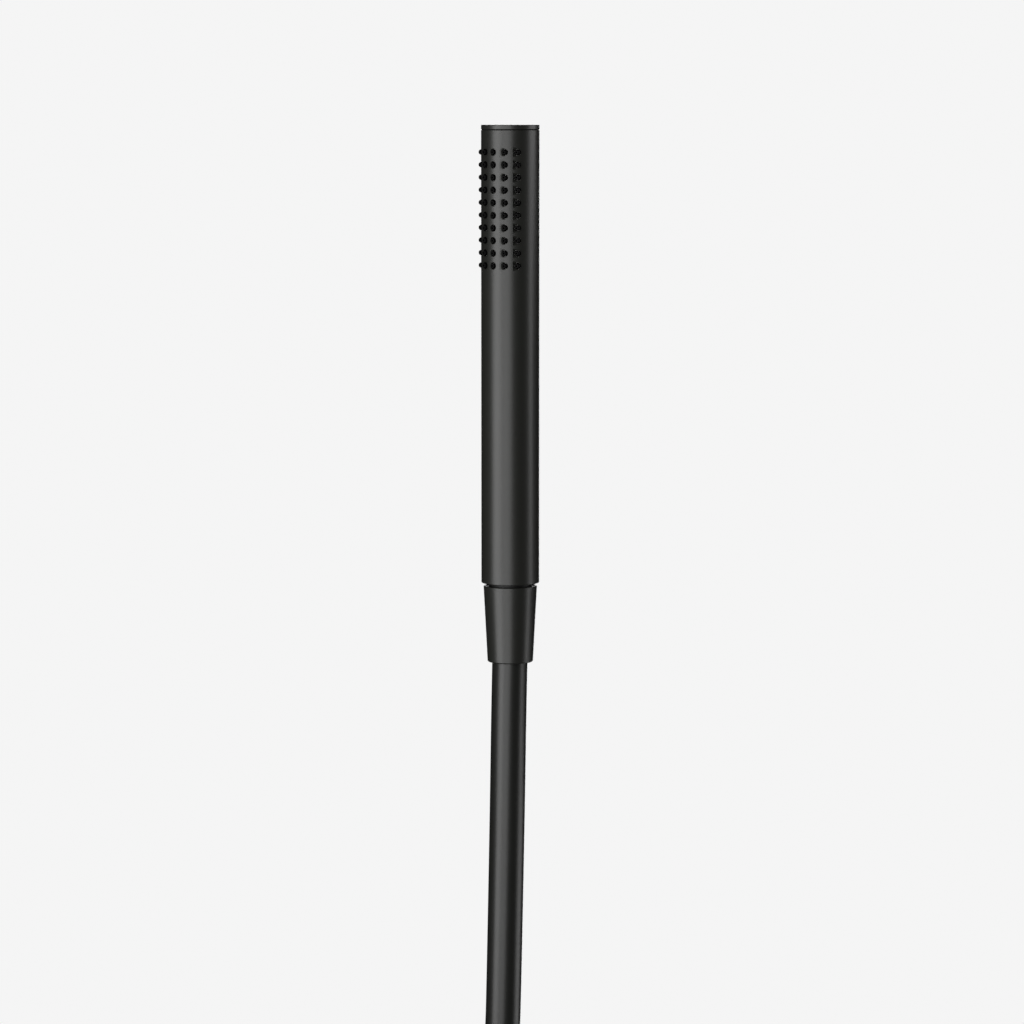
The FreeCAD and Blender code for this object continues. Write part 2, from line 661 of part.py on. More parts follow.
# Non-return valve: plastic body with a seat below and a bridge above that guides the stem.
valve_foot = f"({regulator_top} + valve_play)"
valve_bridge = "(valve_length - bridge_height)"
valve_radius = "(valve_diameter / 2)"
valve_body = turned_body(
    "valve_body",
    [
        ("seat_hole", "0"),
        (valve_radius, "0"),
        (valve_radius, "valve_length"),
        ("stem_radius + slide_gap", "valve_length"),
        ("stem_radius + slide_gap", valve_bridge),
        ("chamber_radius", valve_bridge),
        ("chamber_radius", "seat_height"),
        ("seat_hole", "seat_height"),
    ],
    valve_foot,
)
cut_round(
    valve_body,
    groove_outline(valve_bore, "small_section", "ring_squeeze", "valve_ring_height"),
)
hole_ring(valve_body, 6, "bridge_ring", "bridge_hole", valve_bridge)
o_ring(
    "valve_body_o_ring",
    valve_bore,
    "small_section",
    "ring_squeeze",
    f"({valve_foot} + valve_ring_height)",
)

# Poppet: a disc on a stem, with a rubber seal under it that closes on the seat.
poppet_foot = f"({valve_foot} + seat_height + fit_gap)"
stem_top = "(valve_length - seat_height + stem_proud)"
valve_poppet = turned_body(
    "valve_poppet",
    [
        ("0", "0"),
        ("poppet_nose", "0"),
        ("poppet_nose", "seal_height"),
        ("poppet_radius", "seal_height"),
        ("poppet_radius", "poppet_height"),
        ("stem_radius", "poppet_height"),
        ("stem_radius", stem_top),
        ("0", stem_top),
    ],
    poppet_foot,
)
turned_body(
    "valve_seal",
    [
        ("poppet_nose", "0"),
        ("poppet_radius - slide_gap", "0"),
        ("poppet_radius - slide_gap", "seal_height"),
        ("poppet_nose", "seal_height"),
    ],
    poppet_foot,
)

# Closing spring: five turns of round wire between the disc and the bridge.
spring_foot = f"({poppet_foot} + poppet_height + wire_radius + fit_gap)"
spring_height = f"({valve_bridge} - seat_height - poppet_height - 2 * wire_radius - 3 * fit_gap)"
valve_spring = new_body("valve_spring", spring_foot)
wire = new_sketch(valve_spring)
wire.addGeometry(
    Part.Circle(
        FreeCAD.Vector(value("spring_radius"), 0, 0),
        FreeCAD.Vector(0, 0, 1),
        value("wire_radius"),
    )
)
wire.addConstraint(Sketcher.Constraint("Radius", 0, value("wire_radius")))
wire.setExpression("Constraints[0]", bound("wire_radius"))
pin_down(wire, 0, 3, "spring_radius", "0")
coil = add_feature(valve_spring, "AdditiveHelix", wire, ReferenceAxis=(wire, ["V_Axis"]), Mode=2)
coil.Turns = 5
coil.setExpression("Height", bound(spring_height))

# ---------------------------------------------------------------- cone nut and hose fittings

# Cone nut: brass, threaded at the top, stepped inside for the swivel, open below for the hose.
washer_seat = f"({nipple_foot} - washer_thick)"
stem_flange_foot = f"({washer_seat} - flange_thick)"
bush_top = f"({stem_flange_foot} - collar_room)"
bush_foot = f"({bush_top} - bush_height)"
hose_hole = "(hose_diameter / 2 + hose_room)"
nut_foot_z = "(-nut_length / 2)"
local = "nut_length / 2 + "
cone_nut = turned_body(
    "cone_nut",
    [
        (hose_hole, "0"),
        ("nut_foot / 2", "0"),
        ("nut_top / 2", "nut_length"),
        ("nut_bore / 2", "nut_length"),
        ("nut_bore / 2", f"({local} {nipple_foot})"),
        ("flange_bore", f"({local} {nipple_foot})"),
        ("flange_bore", f"({local} {stem_flange_foot})"),
        ("collar_bore", f"({local} {stem_flange_foot})"),
        ("collar_bore", f"({local} {bush_foot})"),
        (hose_hole, f"({local} {bush_foot})"),
    ],
    nut_foot_z,
)
round_edges(
    cone_nut,
    "top_round",
    [("nut_foot / 2", "0"), ("nut_top / 2", "nut_length")],
)

# Filter washer: rubber ring that seals on the nipple, with a steel mesh across its hole.
turned_body(
    "filter_washer",
    [
        ("washer_hole / 2", "0"),
        ("washer_diameter / 2", "0"),
        ("washer_diameter / 2", "washer_thick"),
        ("washer_hole / 2", "washer_thick"),
    ],
    washer_seat,
)
filter_mesh = turned_body(
    "filter_mesh",
    [
        ("0", "0"),
        ("washer_hole / 2", "0"),
        ("washer_hole / 2", "mesh_thick"),
        ("0", "mesh_thick"),
    ],
    f"({washer_seat} + washer_thick / 2)",
)
for ring in range(3):
    hole_ring(filter_mesh, 6 * (ring + 1), f"mesh_ring + {ring} * mesh_pitch", "mesh_hole")

# Swivel stem: brass tube with a flange under the washer. The hose tail turns on its stem.
swivel_stem = turned_body(
    "swivel_stem",
    [
        ("pipe_bore / 2", stem_foot),
        (pipe_radius, stem_foot),
        (pipe_radius, stem_flange_foot),
        ("flange_bore - slide_gap", stem_flange_foot),
        ("flange_bore - slide_gap", washer_seat),
        ("pipe_bore / 2", washer_seat),
    ],
)
swivel_ring_z = f"({bush_top} + swivel_ring_rise)"
swivel_squeeze = "-slide_gap / 2"
cut_round(
    swivel_stem,
    groove_outline(socket_radius, "small_section", swivel_squeeze, swivel_ring_z),
)
o_ring("swivel_o_ring", socket_radius, "small_section", swivel_squeeze, swivel_ring_z)

# Swivel bush: slippery plastic ring under the tail's collar.
turned_body(
    "swivel_bush",
    [
        ("head_radius + slide_gap", bush_foot),
        ("collar_bore - fit_gap", bush_foot),
        ("collar_bore - fit_gap", bush_top),
        ("head_radius + slide_gap", bush_top),
    ],
)

# Hose tail: brass, barbed below for the hose, with a socket and a collar above.


barb_crest = "(barb_diameter / 2)"
barb_valley = "(barb_diameter / 2 - barb_depth)"


def barbed_outline():
    """Three barbs from the end of a tail upward, as (radius, height) pairs."""
    outline = [(barb_valley, "0")]
    for barb in (1, 2):
        outline.append((barb_crest, f"({barb_length} * {barb} / 3 - barb_slope)"))
        outline.append((barb_valley, f"({barb_length} * {barb} / 3)"))
    outline.append((barb_crest, f"({barb_length} - barb_slope)"))
    outline.append((barb_crest, barb_length))
    return outline


tail_local = "nut_length / 2 - hose_entry + "
collar_radius = "(collar_bore - free_gap)"
collar_foot = f"({bush_top} + slide_gap)"
collar_top = f"({stem_flange_foot} - 2 * slide_gap)"
hose_tail = turned_body(
    "hose_tail",
    barbed_outline()
    + [
        ("head_radius", barb_length),
        ("head_radius", f"({tail_local} {collar_foot})"),
        (collar_radius, f"({tail_local} {collar_foot})"),
        (collar_radius, f"({tail_local} {collar_top})"),
        (socket_radius, f"({tail_local} {collar_top})"),
        (socket_radius, f"({barb_length} + socket_floor_rise)"),
        ("pipe_bore / 2", f"({barb_length} + socket_floor_rise)"),
        ("pipe_bore / 2", "0"),
    ],
    hose_end,
)

# Crimp ferrules: thin steel sleeves round the hose ends, squeezed onto the barbs.
squeezed_radius = "(hose_diameter / 2 - hose_squeeze)"


def ferrule_outline(length):
    outside = f"({squeezed_radius} + ferrule_wall)"
    return [(squeezed_radius, "0"), (outside, "0"), (outside, length), (squeezed_radius, length)]


turned_body("crimp_ferrule", ferrule_outline("ferrule_length"), hose_end)

# ---------------------------------------------------------------- hose

# Free stretch of the hose, from the cone nut down to the hank.
route_wire, route_radii = rounded_route(HOSE_ROUTE)
hose_route = doc.addObject("Part::Feature", "hose_route")
hose_route.Shape = route_wire
hose_section = doc.addObject("Part::Circle", "hose_section")
hose_section.setExpression("Radius", bound("hose_diameter / 2"))
hose_section.setExpression("Placement.Base.z", bound(hose_end))
hose_tube = doc.addObject("Part::Sweep", "hose_tube")
hose_tube.Label = "hose_tube"
hose_tube.Sections = [hose_section]
hose_tube.Spine = (hose_route, [f"Edge{k + 1}" for k in range(len(route_wire.Edges))])
hose_tube.Solid = True

# Hank: the hose's put-away length, folded in a racetrack of several layers. One closed solid,
# with a stub that meets the free stretch and another that hangs below with the wall fittings.
layer_span = "((hank_layers - 1) * layer_pitch)"
hank_middle_y = f"({layer_span} / 2)"
hank_ring = new_body("hank_ring", "hank_z", "hank_x", hank_middle_y)
spine = new_sketch(hank_ring)
stadium(spine, "2 * fold_radius", "hank_straight")
bundle = new_sketch(hank_ring, "XY_Plane")
bundle.setExpression("AttachmentOffset.Base.x", bound("-fold_radius"))
stadium(bundle, "hose_diameter", layer_span)
ring_pipe = add_feature(hank_ring, "AdditivePipe", bundle)
ring_pipe.Spine = (spine, ["Edge1", "Edge2", "Edge3", "Edge4"])

stub_radius = "(hose_diameter / 2 - stub_slimming)"
route_end = FreeCAD.Vector(*HOSE_ROUTE[-1])
route_heading = (route_end - FreeCAD.Vector(*HOSE_ROUTE[-2])).normalize()
entry_stub = doc.addObject("Part::Cylinder", "entry_stub")
entry_stub.setExpression("Radius", bound(stub_radius))
entry_stub.setExpression("Height", bound("entry_stub_length"))
entry_stub.Placement = FreeCAD.Placement(
    route_end, FreeCAD.Rotation(FreeCAD.Vector(0, 0, 1), route_heading)
)
wall_x = "(hank_x - fold_radius)"
wall_y = layer_span
low_fold_z = "(hank_z - hank_straight / 2)"
wall_hose_end = f"({low_fold_z} - tail_drop)"
tail_stub = doc.addObject("Part::Cylinder", "tail_stub")
tail_stub.setExpression("Radius", bound(stub_radius))
tail_stub.setExpression("Height", bound("tail_drop + stub_overlap"))
tail_stub.setExpression("Placement.Base.x", bound(wall_x))
tail_stub.setExpression("Placement.Base.y", bound(wall_y))
tail_stub.setExpression("Placement.Base.z", bound(wall_hose_end))
hose_hank = doc.addObject("Part::MultiFuse", "hose_hank")
hose_hank.Label = "hose_hank"
hose_hank.Shapes = [hank_ring, entry_stub, tail_stub]

# Ties: flat straps round the bundles on both sides of the hank.
for node, side, height in (
    ("hose_tie_left", "hank_x - fold_radius", "left_tie_z"),
    ("hose_tie_right", "hank_x + fold_radius", "right_tie_z"),
):
    tie = new_body(node, height, side, hank_middle_y)
    band = new_sketch(tie, "XY_Plane")
    stadium(band, "hose_diameter + 2 * tie_wall", layer_span)
    stadium(band, "hose_diameter", layer_span)
    strap = add_feature(tie, "Pad", band)
    strap.setExpression("Length", bound("tie_height"))

# Squeezed hose ends, between each tail's barbs and its ferrule.
squeezed_outline = [
    (barb_crest, "0"),
    (squeezed_radius, "0"),
    (squeezed_radius, "ferrule_length - barb_gap"),
    (barb_crest, "ferrule_length - barb_gap"),
]
upper_end = turned_body("upper_hose_end", squeezed_outline, hose_end)
lower_end_foot = f"({wall_hose_end} - ferrule_length + barb_gap)"
lower_end = turned_body("lower_hose_end", squeezed_outline, lower_end_foot, wall_x, wall_y)
hose_ends = doc.addObject("Part::Compound", "hose_ends")
hose_ends.Label = "hose_ends"
hose_ends.Links = [upper_end, lower_end]

# ---------------------------------------------------------------- wall end of the hose

# Wall tail: barbed above, flanged below where the washer presses on it.
wall_flange_foot = f"({wall_hose_end} - {barb_length} - wall_neck_length - flange_thick)"
wall_ferrule_foot = f"({wall_hose_end} - ferrule_length)"
barbs_foot = "(flange_thick + wall_neck_length)"
wall_barbs = [(barb_crest, barbs_foot)]
for barb in (1, 2):
    wall_barbs.append((barb_crest, f"({barbs_foot} + {barb_length} * {barb} / 3)"))
    wall_barbs.append((barb_valley, f"({barbs_foot} + {barb_length} * {barb} / 3 + barb_slope)"))
wall_barbs.append((barb_valley, f"({barbs_foot} + {barb_length})"))
turned_body(
    "wall_tail",
    [
        ("pipe_bore / 2", "0"),
        ("wall_flange", "0"),
        ("wall_flange", "flange_thick"),
        ("wall_neck", "flange_thick"),
        ("wall_neck", barbs_foot),
    ]
    + wall_barbs
    + [("pipe_bore / 2", f"({barbs_foot} + {barb_length})")],
    wall_flange_foot,
    wall_x,
    wall_y,
)
turned_body(
    "wall_ferrule", ferrule_outline("ferrule_length"), wall_ferrule_foot, wall_x, wall_y
)
wall_washer_foot = f"({wall_flange_foot} - washer_thick)"
turned_body(
    "wall_washer",
    [
        ("washer_hole / 2", "0"),
        ("washer_diameter / 2", "0"),
        ("washer_diameter / 2", "washer_thick"),
        ("washer_hole / 2", "washer_thick"),
    ],
    wall_washer_foot,
    wall_x,
    wall_y,
)

# Wall nut: hexagon with a round collar. It turns on the tail's neck and pulls on its flange.
nut_mouth = f"({wall_washer_foot} - wall_thread_length - slide_gap)"
nut_shoulder = "(wall_thread_length + washer_thick + flange_thick + 2 * slide_gap)"
wall_nut_height = f"({nut_shoulder} + wall_neck_length - neck_proud)"
corner_radius = "(wall_nut_flats / 2 / cos(30))"
wall_nut_blank = turned_body(
    "wall_nut_blank",
    [
        ("nut_bore / 2", "0"),
        ("wall_nut_flats / 2 + hex_face", "0"),
        (corner_radius, "hex_chamfer"),
        (corner_radius, "wall_nut_hex - hex_chamfer"),
        ("wall_nut_flats / 2 + hex_face", "wall_nut_hex"),
        ("wall_nut_collar / 2", "wall_nut_hex"),
        ("wall_nut_collar / 2", f"({wall_nut_height} - collar_chamfer)"),
        ("wall_nut_collar / 2 - collar_chamfer", wall_nut_height),
        ("wall_neck + slide_gap", wall_nut_height),
        ("wall_neck + slide_gap", nut_shoulder),
        ("wall_relief", nut_shoulder),
        ("wall_relief", "wall_thread_length"),
        ("nut_bore / 2", "wall_thread_length"),
    ],
    nut_mouth,
    wall_x,
    wall_y,
)
wall_nut_hexagon = doc.addObject("Part::Prism", "wall_nut_hexagon")
wall_nut_hexagon.Polygon = 6
wall_nut_hexagon.setExpression("Circumradius", bound(corner_radius))
wall_nut_hexagon.setExpression("Height", bound(wall_nut_height))
wall_nut_hexagon.setExpression("Placement.Base.x", bound(wall_x))
wall_nut_hexagon.setExpression("Placement.Base.y", bound(wall_y))
wall_nut_hexagon.setExpression("Placement.Base.z", bound(nut_mouth))
wall_nut = doc.addObject("Part::Common", "wall_nut")
wall_nut.Label = "wall_nut"
wall_nut.Base = wall_nut_blank
wall_nut.Tool = wall_nut_hexagon

# ---------------------------------------------------------------- checks and files

NODES = [
    "handle_tube", "end_cap", "cap_o_ring", "cap_gasket", "nozzle_strip", "nozzle_carrier",
    "carrier_o_ring", "waterway_tube", "waterway_o_rings", "inlet_adapter", "adapter_o_ring",
    "flow_regulator", "regulator_ring", "valve_body", "valve_body_o_ring", "valve_poppet", "valve_seal",
    "valve_spring", "cone_nut", "filter_washer", "filter_mesh", "swivel_stem", "swivel_o_ring",
    "swivel_bush", "hose_tail", "crimp_ferrule", "hose_ends", "hose_tube", "hose_hank",
    "hose_tie_left", "hose_tie_right", "wall_ferrule", "wall_tail", "wall_washer", "wall_nut",
]

doc.recompute()
failed = [thing.Name for thing in doc.Objects if {"Invalid", "Error"} & set(thing.State)]
if failed:
    raise RuntimeError(f"failed objects: {failed}")
for node in NODES:
    shape = doc.getObject(node).Shape
    if shape.isNull() or not shape.isValid() or not shape.Solids:
        raise RuntimeError(f"{node} has no valid shape")

swept = hose_tube.Shape.Volume
expected = math.pi * value("hose_diameter / 2") ** 2 * route_wire.Length
print("hose arcs, mm:", [round(radius) for radius in route_radii])
print("hose tube volume over section times length:", round(swept / expected, 4))
for node in NODES:
    shape = doc.getObject(node).Shape
    box = shape.BoundBox
    print(f"{node:20s} solids {len(shape.Solids):2d} volume {shape.Volume:10.1f}"
          f" z {box.ZMin:8.2f} to {box.ZMax:8.2f}")
    shape.exportStep(f"parts/{node}.step")
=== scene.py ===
import math

import bpy
from mathutils import Matrix, Vector


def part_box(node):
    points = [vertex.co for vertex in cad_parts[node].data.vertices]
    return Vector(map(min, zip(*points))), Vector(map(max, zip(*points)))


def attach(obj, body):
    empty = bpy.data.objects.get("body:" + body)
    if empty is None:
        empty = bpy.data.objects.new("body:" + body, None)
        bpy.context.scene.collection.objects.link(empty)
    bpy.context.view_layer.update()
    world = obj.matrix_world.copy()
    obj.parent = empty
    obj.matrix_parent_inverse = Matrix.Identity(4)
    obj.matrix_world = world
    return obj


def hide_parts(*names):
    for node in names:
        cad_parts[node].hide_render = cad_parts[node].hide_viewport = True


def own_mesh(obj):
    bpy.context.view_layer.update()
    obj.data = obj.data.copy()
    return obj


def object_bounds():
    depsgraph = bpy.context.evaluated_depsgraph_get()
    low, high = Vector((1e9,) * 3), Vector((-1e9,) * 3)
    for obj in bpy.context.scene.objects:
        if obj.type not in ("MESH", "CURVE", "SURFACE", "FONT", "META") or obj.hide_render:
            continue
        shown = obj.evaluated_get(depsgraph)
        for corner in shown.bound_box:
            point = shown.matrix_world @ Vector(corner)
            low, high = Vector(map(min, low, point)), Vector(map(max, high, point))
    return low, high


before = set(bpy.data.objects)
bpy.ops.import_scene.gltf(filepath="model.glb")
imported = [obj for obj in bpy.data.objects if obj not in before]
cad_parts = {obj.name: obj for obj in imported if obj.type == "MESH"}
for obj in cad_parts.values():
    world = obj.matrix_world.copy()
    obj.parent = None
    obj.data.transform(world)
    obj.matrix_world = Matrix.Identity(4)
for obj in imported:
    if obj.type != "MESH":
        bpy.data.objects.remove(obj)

cad_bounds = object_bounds()
MM = 0.001
AXIS_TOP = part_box("end_cap")[1][2]

# ---- Camera
# A long lens, level with the cap and tilted down a little, from the left of the jets' side.
VIEW_AZIMUTH = math.radians(36)
VIEW_TILT = math.radians(6.2)
VIEW_DISTANCE = 1.587
VIEW_SIDESTEP = 0.73 * MM
LENS_MM = 130.08
toward_camera = Vector((math.sin(VIEW_AZIMUTH), -math.cos(VIEW_AZIMUTH), 0))
view_right = Vector((math.cos(VIEW_AZIMUTH), math.sin(VIEW_AZIMUTH), 0))
camera_place = toward_camera * VIEW_DISTANCE + view_right * VIEW_SIDESTEP
camera_place.z = AXIS_TOP + 6.2 * MM
bpy.ops.object.camera_add(
    location=camera_place, rotation=(math.pi / 2 - VIEW_TILT, 0, VIEW_AZIMUTH)
)
camera = bpy.context.object
camera.name = "camera"
camera.data.lens = LENS_MM
camera.data.sensor_width = 36
bpy.context.scene.camera = camera

# ---- Studio
# A pale room that only the camera sees, two broad soft panels in front that wrap round the
# black parts, slim panels far to the right, one panel behind, and a pale floor below the hose.


def softbox(name, azimuth, distance, width, height, power, lift=0.0):
    """An upright light panel that faces the handle. The azimuth is counted from the jets' side."""
    angle = math.radians(azimuth)
    place = (math.sin(angle) * distance, -math.cos(angle) * distance, lift)
    bpy.ops.object.light_add(type="AREA", location=place, rotation=(math.pi / 2, 0, angle))
    panel = bpy.context.object
    panel.name = name
    panel.data.shape = "RECTANGLE"
    panel.data.size = width
    panel.data.size_y = height
    panel.data.energy = power
    panel.visible_camera = False


# Each has its azimuth, distance, width, height, power and lift.
softbox("left_panel", -18, 2.0, 1.3, 2.6, 42, 0.3)
softbox("front_panel", 22, 2.0, 1.3, 2.6, 27.5, 0.3)
softbox("right_panel", 124, 2.0, 0.6, 2.6, 10.3, 0.3)
softbox("upper_right_panel", 140, 0.55, 0.2, 0.35, 0.6, 0.36)
softbox("lower_right_panel", 143, 0.55, 0.22, 0.28, 0.36, -0.31)
softbox("back_panel", 212, 2.0, 0.9, 2.6, 22, 0.3)

bpy.context.scene.view_settings.view_transform = "Standard"


class Signal:
    """One output of a shader node. Arithmetic on it adds Math nodes."""

    def __init__(self, shader, output):
        self.shader = shader
        self.output = output

    def combine(self, operation, first, second):
        node = self.shader.add("ShaderNodeMath", {"operation": operation}, [first, second])
        return Signal(self.shader, node.outputs[0])

    def __add__(self, other):
        return self.combine("ADD", self, other)

    __radd__ = __add__

    def __mul__(self, other):
        return self.combine("MULTIPLY", self, other)

    __rmul__ = __mul__


class Shader:
    """The node tree of a material or of the world."""

    def __init__(self, owner):
        owner.use_nodes = True
        self.tree = owner.node_tree
        self.tree.nodes.clear()

    def add(self, kind, settings=None, sockets=()):
        """A node with its settings, then its sockets by number or by name."""
        node = self.tree.nodes.new(kind)
        for name, setting in (settings or {}).items():
            setattr(node, name, setting)
        pairs = sockets.items() if isinstance(sockets, dict) else enumerate(sockets)
        for key, given in pairs:
            if isinstance(given, Signal):
                self.tree.links.new(given.output, node.inputs[key])
            else:
                node.inputs[key].default_value = given
        return node

    def signal(self, kind, settings=None, sockets=(), output=0):
        return Signal(self, self.add(kind, settings, sockets).outputs[output])

    def place(self, stretch=(1, 1, 1)):
        """Object coordinates, stretched."""
        spot = self.signal("ShaderNodeTexCoord", output="Object")
        return self.signal("ShaderNodeMapping", None, {"Vector": spot, "Scale": stretch})

    def noise(self, scale, detail=3.0, where=None, roughness=0.5):
        """A noise value from 0 to 1. The scale is in cells per metre."""
        spot = where or self.place()
        return self.signal(
            "ShaderNodeTexNoise",
            None,
            {"Vector": spot, "Scale": scale, "Detail": detail, "Roughness": roughness},
        )

    def blend(self, factor, first, second):
        """A colour between two colours."""
        node = self.add("ShaderNodeMix", {"data_type": "RGBA"})
        for key, given in ((0, factor), (6, first), (7, second)):
            if isinstance(given, Signal):
                self.tree.links.new(given.output, node.inputs[key])
            else:
                node.inputs[key].default_value = given
        return Signal(self, node.outputs[2])

    def bump(self, height, depth, strength=1.0):
        """A normal from a height between 0 and 1 that stands for the given depth in metres."""
        return self.signal(
            "ShaderNodeBump", None, {"Height": height, "Distance": depth, "Strength": strength}
        )


world = bpy.context.scene.world or bpy.data.worlds.new("studio")
bpy.context.scene.world = world
room = Shader(world)
seen_by_camera = room.signal("ShaderNodeLightPath", output="Is Camera Ray")
room_light = room.signal(
    "ShaderNodeBackground", None, {"Color": (0.905, 0.905, 0.91, 1), "Strength": 0.012}
)
backdrop = room.signal(
    "ShaderNodeBackground", None, {"Color": (0.912, 0.912, 0.912, 1), "Strength": 1.0}
)
room_mix = room.signal("ShaderNodeMixShader", None, [seen_by_camera, room_light, backdrop])
room.add("ShaderNodeOutputWorld", None, {"Surface": room_mix})


def finish_material(name, base, roughness, normal=None, fixed=None):
    """A material from one Principled shader. Fixed values go straight onto its sockets."""
    material = bpy.data.materials.new(name)
    shader = Shader(material)
    sockets = {"Base Color": base(shader), "Roughness": roughness(shader)}
    if normal:
        sockets["Normal"] = normal(shader)
    sockets.update(fixed or {})
    coat = shader.signal("ShaderNodeBsdfPrincipled", None, sockets)
    shader.add("ShaderNodeOutputMaterial", None, {"Surface": coat})
    return material


def dress(piece, material):
    """Give the piece its material, in the slots that it has."""
    if not piece.material_slots:
        piece.data.materials.append(material)
    for slot in piece.material_slots:
        slot.material = material


FLOOR_DROP = 12 * MM
FLOOR_RADIUS = 0.9
FLOOR_SIDES = 96
floor_height = cad_bounds[0][2] - FLOOR_DROP
bpy.ops.mesh.primitive_circle_add(
    vertices=FLOOR_SIDES, radius=FLOOR_RADIUS, fill_type="NGON", location=(0, 0, floor_height)
)
floor = bpy.context.object
floor.name = "floor"
floor_paper = finish_material(
    "floor_paper",
    base=lambda shader: shader.blend(shader.noise(9), (0.80, 0.80, 0.80, 1), (0.83, 0.83, 0.83, 1)),
    roughness=lambda shader: 0.75 + shader.noise(40) * 0.1,
    fixed={"Emission Color": (1, 1, 1, 1), "Emission Strength": 0.15},
)
dress(floor, floor_paper)
floor.visible_diffuse = False
floor.visible_glossy = False

# ---- Handle tube
# Drawn brass tube with a fine matte black coating. Fifty holes for the nozzles are drilled in
# five columns of ten, each with its mouth eased.
HANDLE_RADIUS = 12.5
HANDLE_INSIDE = 11.4
ROWS = 10
ROW_PITCH = 5.35
FIRST_ROW_DROP = 11.6
COLUMN_ANGLE = math.radians(24.5)
FAN_ANGLE = math.radians(6)
COLUMNS = (-2, -1, 0, 1, 2)
HOLE_RADIUS = 1.45
HOLE_EASING = 0.1
HOLE_SAG = 0.07
DRILL_DEPTH = 3
DRILL_FLARE = 1
DRILL_SIDES = 32
FOOT_ROUNDING = 0.3
INSIDE_ROUNDING = 0.2
TOP_ROUNDING = 0.15
TUBE_SIDES = 192
MERGE_DISTANCE = 0.0004 * MM
tube_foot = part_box("handle_tube")[0][2] / MM
tube_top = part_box("handle_tube")[1][2] / MM
cap_top = AXIS_TOP / MM
top_row = cap_top - FIRST_ROW_DROP
last_row = top_row - (ROWS - 1) * ROW_PITCH


def rounded(corners, steps=4):
    """The outline of a turned piece in mm. A corner is its radius, height and maybe rounding."""
    outline = []
    count = len(corners)
    for k, (radius, height, *rounding) in enumerate(corners):
        corner = Vector((radius, height))
        if not rounding:
            outline.append(corner)
            continue
        back = (Vector(corners[k - 1][:2]) - corner).normalized()
        ahead = (Vector(corners[(k + 1) % count][:2]) - corner).normalized()
        half = back.angle(ahead) / 2
        centre = corner + (back + ahead).normalized() * (rounding[0] / math.sin(half))
        reach = rounding[0] / math.tan(half)
        first = (corner + back * reach - centre).normalized()
        last = (corner + ahead * reach - centre).normalized()
        for step in range(steps + 1):
            outline.append(centre + first.slerp(last, step / steps) * rounding[0])
    return outline


def start_afresh():
    """Leave edit mode and select nothing."""
    if bpy.context.object and bpy.context.object.mode != "OBJECT":
        bpy.ops.object.mode_set(mode="OBJECT")
    bpy.ops.object.select_all(action="DESELECT")


def select_only(*pieces):
    start_afresh()
    for piece in pieces:
        piece.select_set(True)
    bpy.context.view_layer.objects.active = pieces[0]


def settle(piece):
    """Put the piece's place into its mesh, so that its object sits at the origin."""
    select_only(piece)
    bpy.ops.object.transform_apply(location=True, rotation=True, scale=True)


def apply_modifier(piece, kind, **settings):
    select_only(piece)
    bpy.ops.object.modifier_add(type=kind)
    modifier = piece.modifiers[-1]
    for name, setting in settings.items():
        setattr(modifier, name, setting)
    bpy.ops.object.modifier_apply(modifier=modifier.name)


def smooth(piece, angle=38):
    """Smooth shading that keeps flat faces flat and corners crisp."""
    select_only(piece)
    bpy.ops.object.shade_smooth_by_angle(angle=math.radians(angle))
    apply_modifier(piece, "WEIGHTED_NORMAL", keep_sharp=True, weight=50)


def lathe(name, outline, across=0.0, depth=0.0, sides=160, ring_shaped=True):
    """Draw a circle out ring by ring along an outline in mm, as a piece turned on a lathe."""
    start_afresh()
    radius, height = outline[0]
    bpy.ops.mesh.primitive_circle_add(
        vertices=sides, radius=radius * MM, location=(across * MM, depth * MM, height * MM)
    )
    piece = bpy.context.object
    piece.name = name
    bpy.ops.object.mode_set(mode="EDIT")
    bpy.ops.mesh.select_all(action="SELECT")
    rest = outline[1:] + (outline[:1] if ring_shaped else [])
    for next_radius, next_height in rest:
        rise = (0, 0, (next_height - height) * MM)
        bpy.ops.mesh.extrude_edges_move(TRANSFORM_OT_translate={"value": rise})
        growth = next_radius / radius
        centre = (across * MM, depth * MM, next_height * MM)
        bpy.ops.transform.resize(value=(growth, growth, 1), center_override=centre)
        radius, height = next_radius, next_height
    bpy.ops.mesh.select_all(action="SELECT")
    bpy.ops.mesh.remove_doubles(threshold=MERGE_DISTANCE)
    if not ring_shaped:
        bpy.ops.mesh.fill_holes(sides=0)
    bpy.ops.mesh.normals_make_consistent(inside=False)
    bpy.ops.object.mode_set(mode="OBJECT")
    settle(piece)
    return piece


def jet_frame(row, column):
    """Where a nozzle leaves the tube: +Z along its jet, +Y up the handle."""
    around = column * COLUMN_ANGLE
    lean = column * FAN_ANGLE
    spot = Vector((math.sin(around), -math.cos(around), 0)) * HANDLE_RADIUS
    spot.z = top_row - row * ROW_PITCH
    jet = Vector((math.sin(lean), -math.cos(lean), 0))
    up = Vector((0, 0, 1))
    frame_axes = Matrix((up.cross(jet), up, jet)).transposed().to_4x4()
    return Matrix.Translation(spot * MM) @ frame_axes


def set_at_every_nozzle(pattern, name):
    """Copy one piece to each nozzle and join the copies."""
    copies = []
    for row in range(ROWS):
        for column in COLUMNS:
            select_only(pattern)
            bpy.ops.object.duplicate()
            copy = bpy.context.object
            copy.matrix_world = jet_frame(row, column)
            copies.append(copy)
    select_only(*copies)
    bpy.ops.object.transform_apply(location=True, rotation=True, scale=True)
    bpy.ops.object.join()
    bpy.data.objects.remove(pattern)
    joined = bpy.context.object
    joined.name = name
    return joined


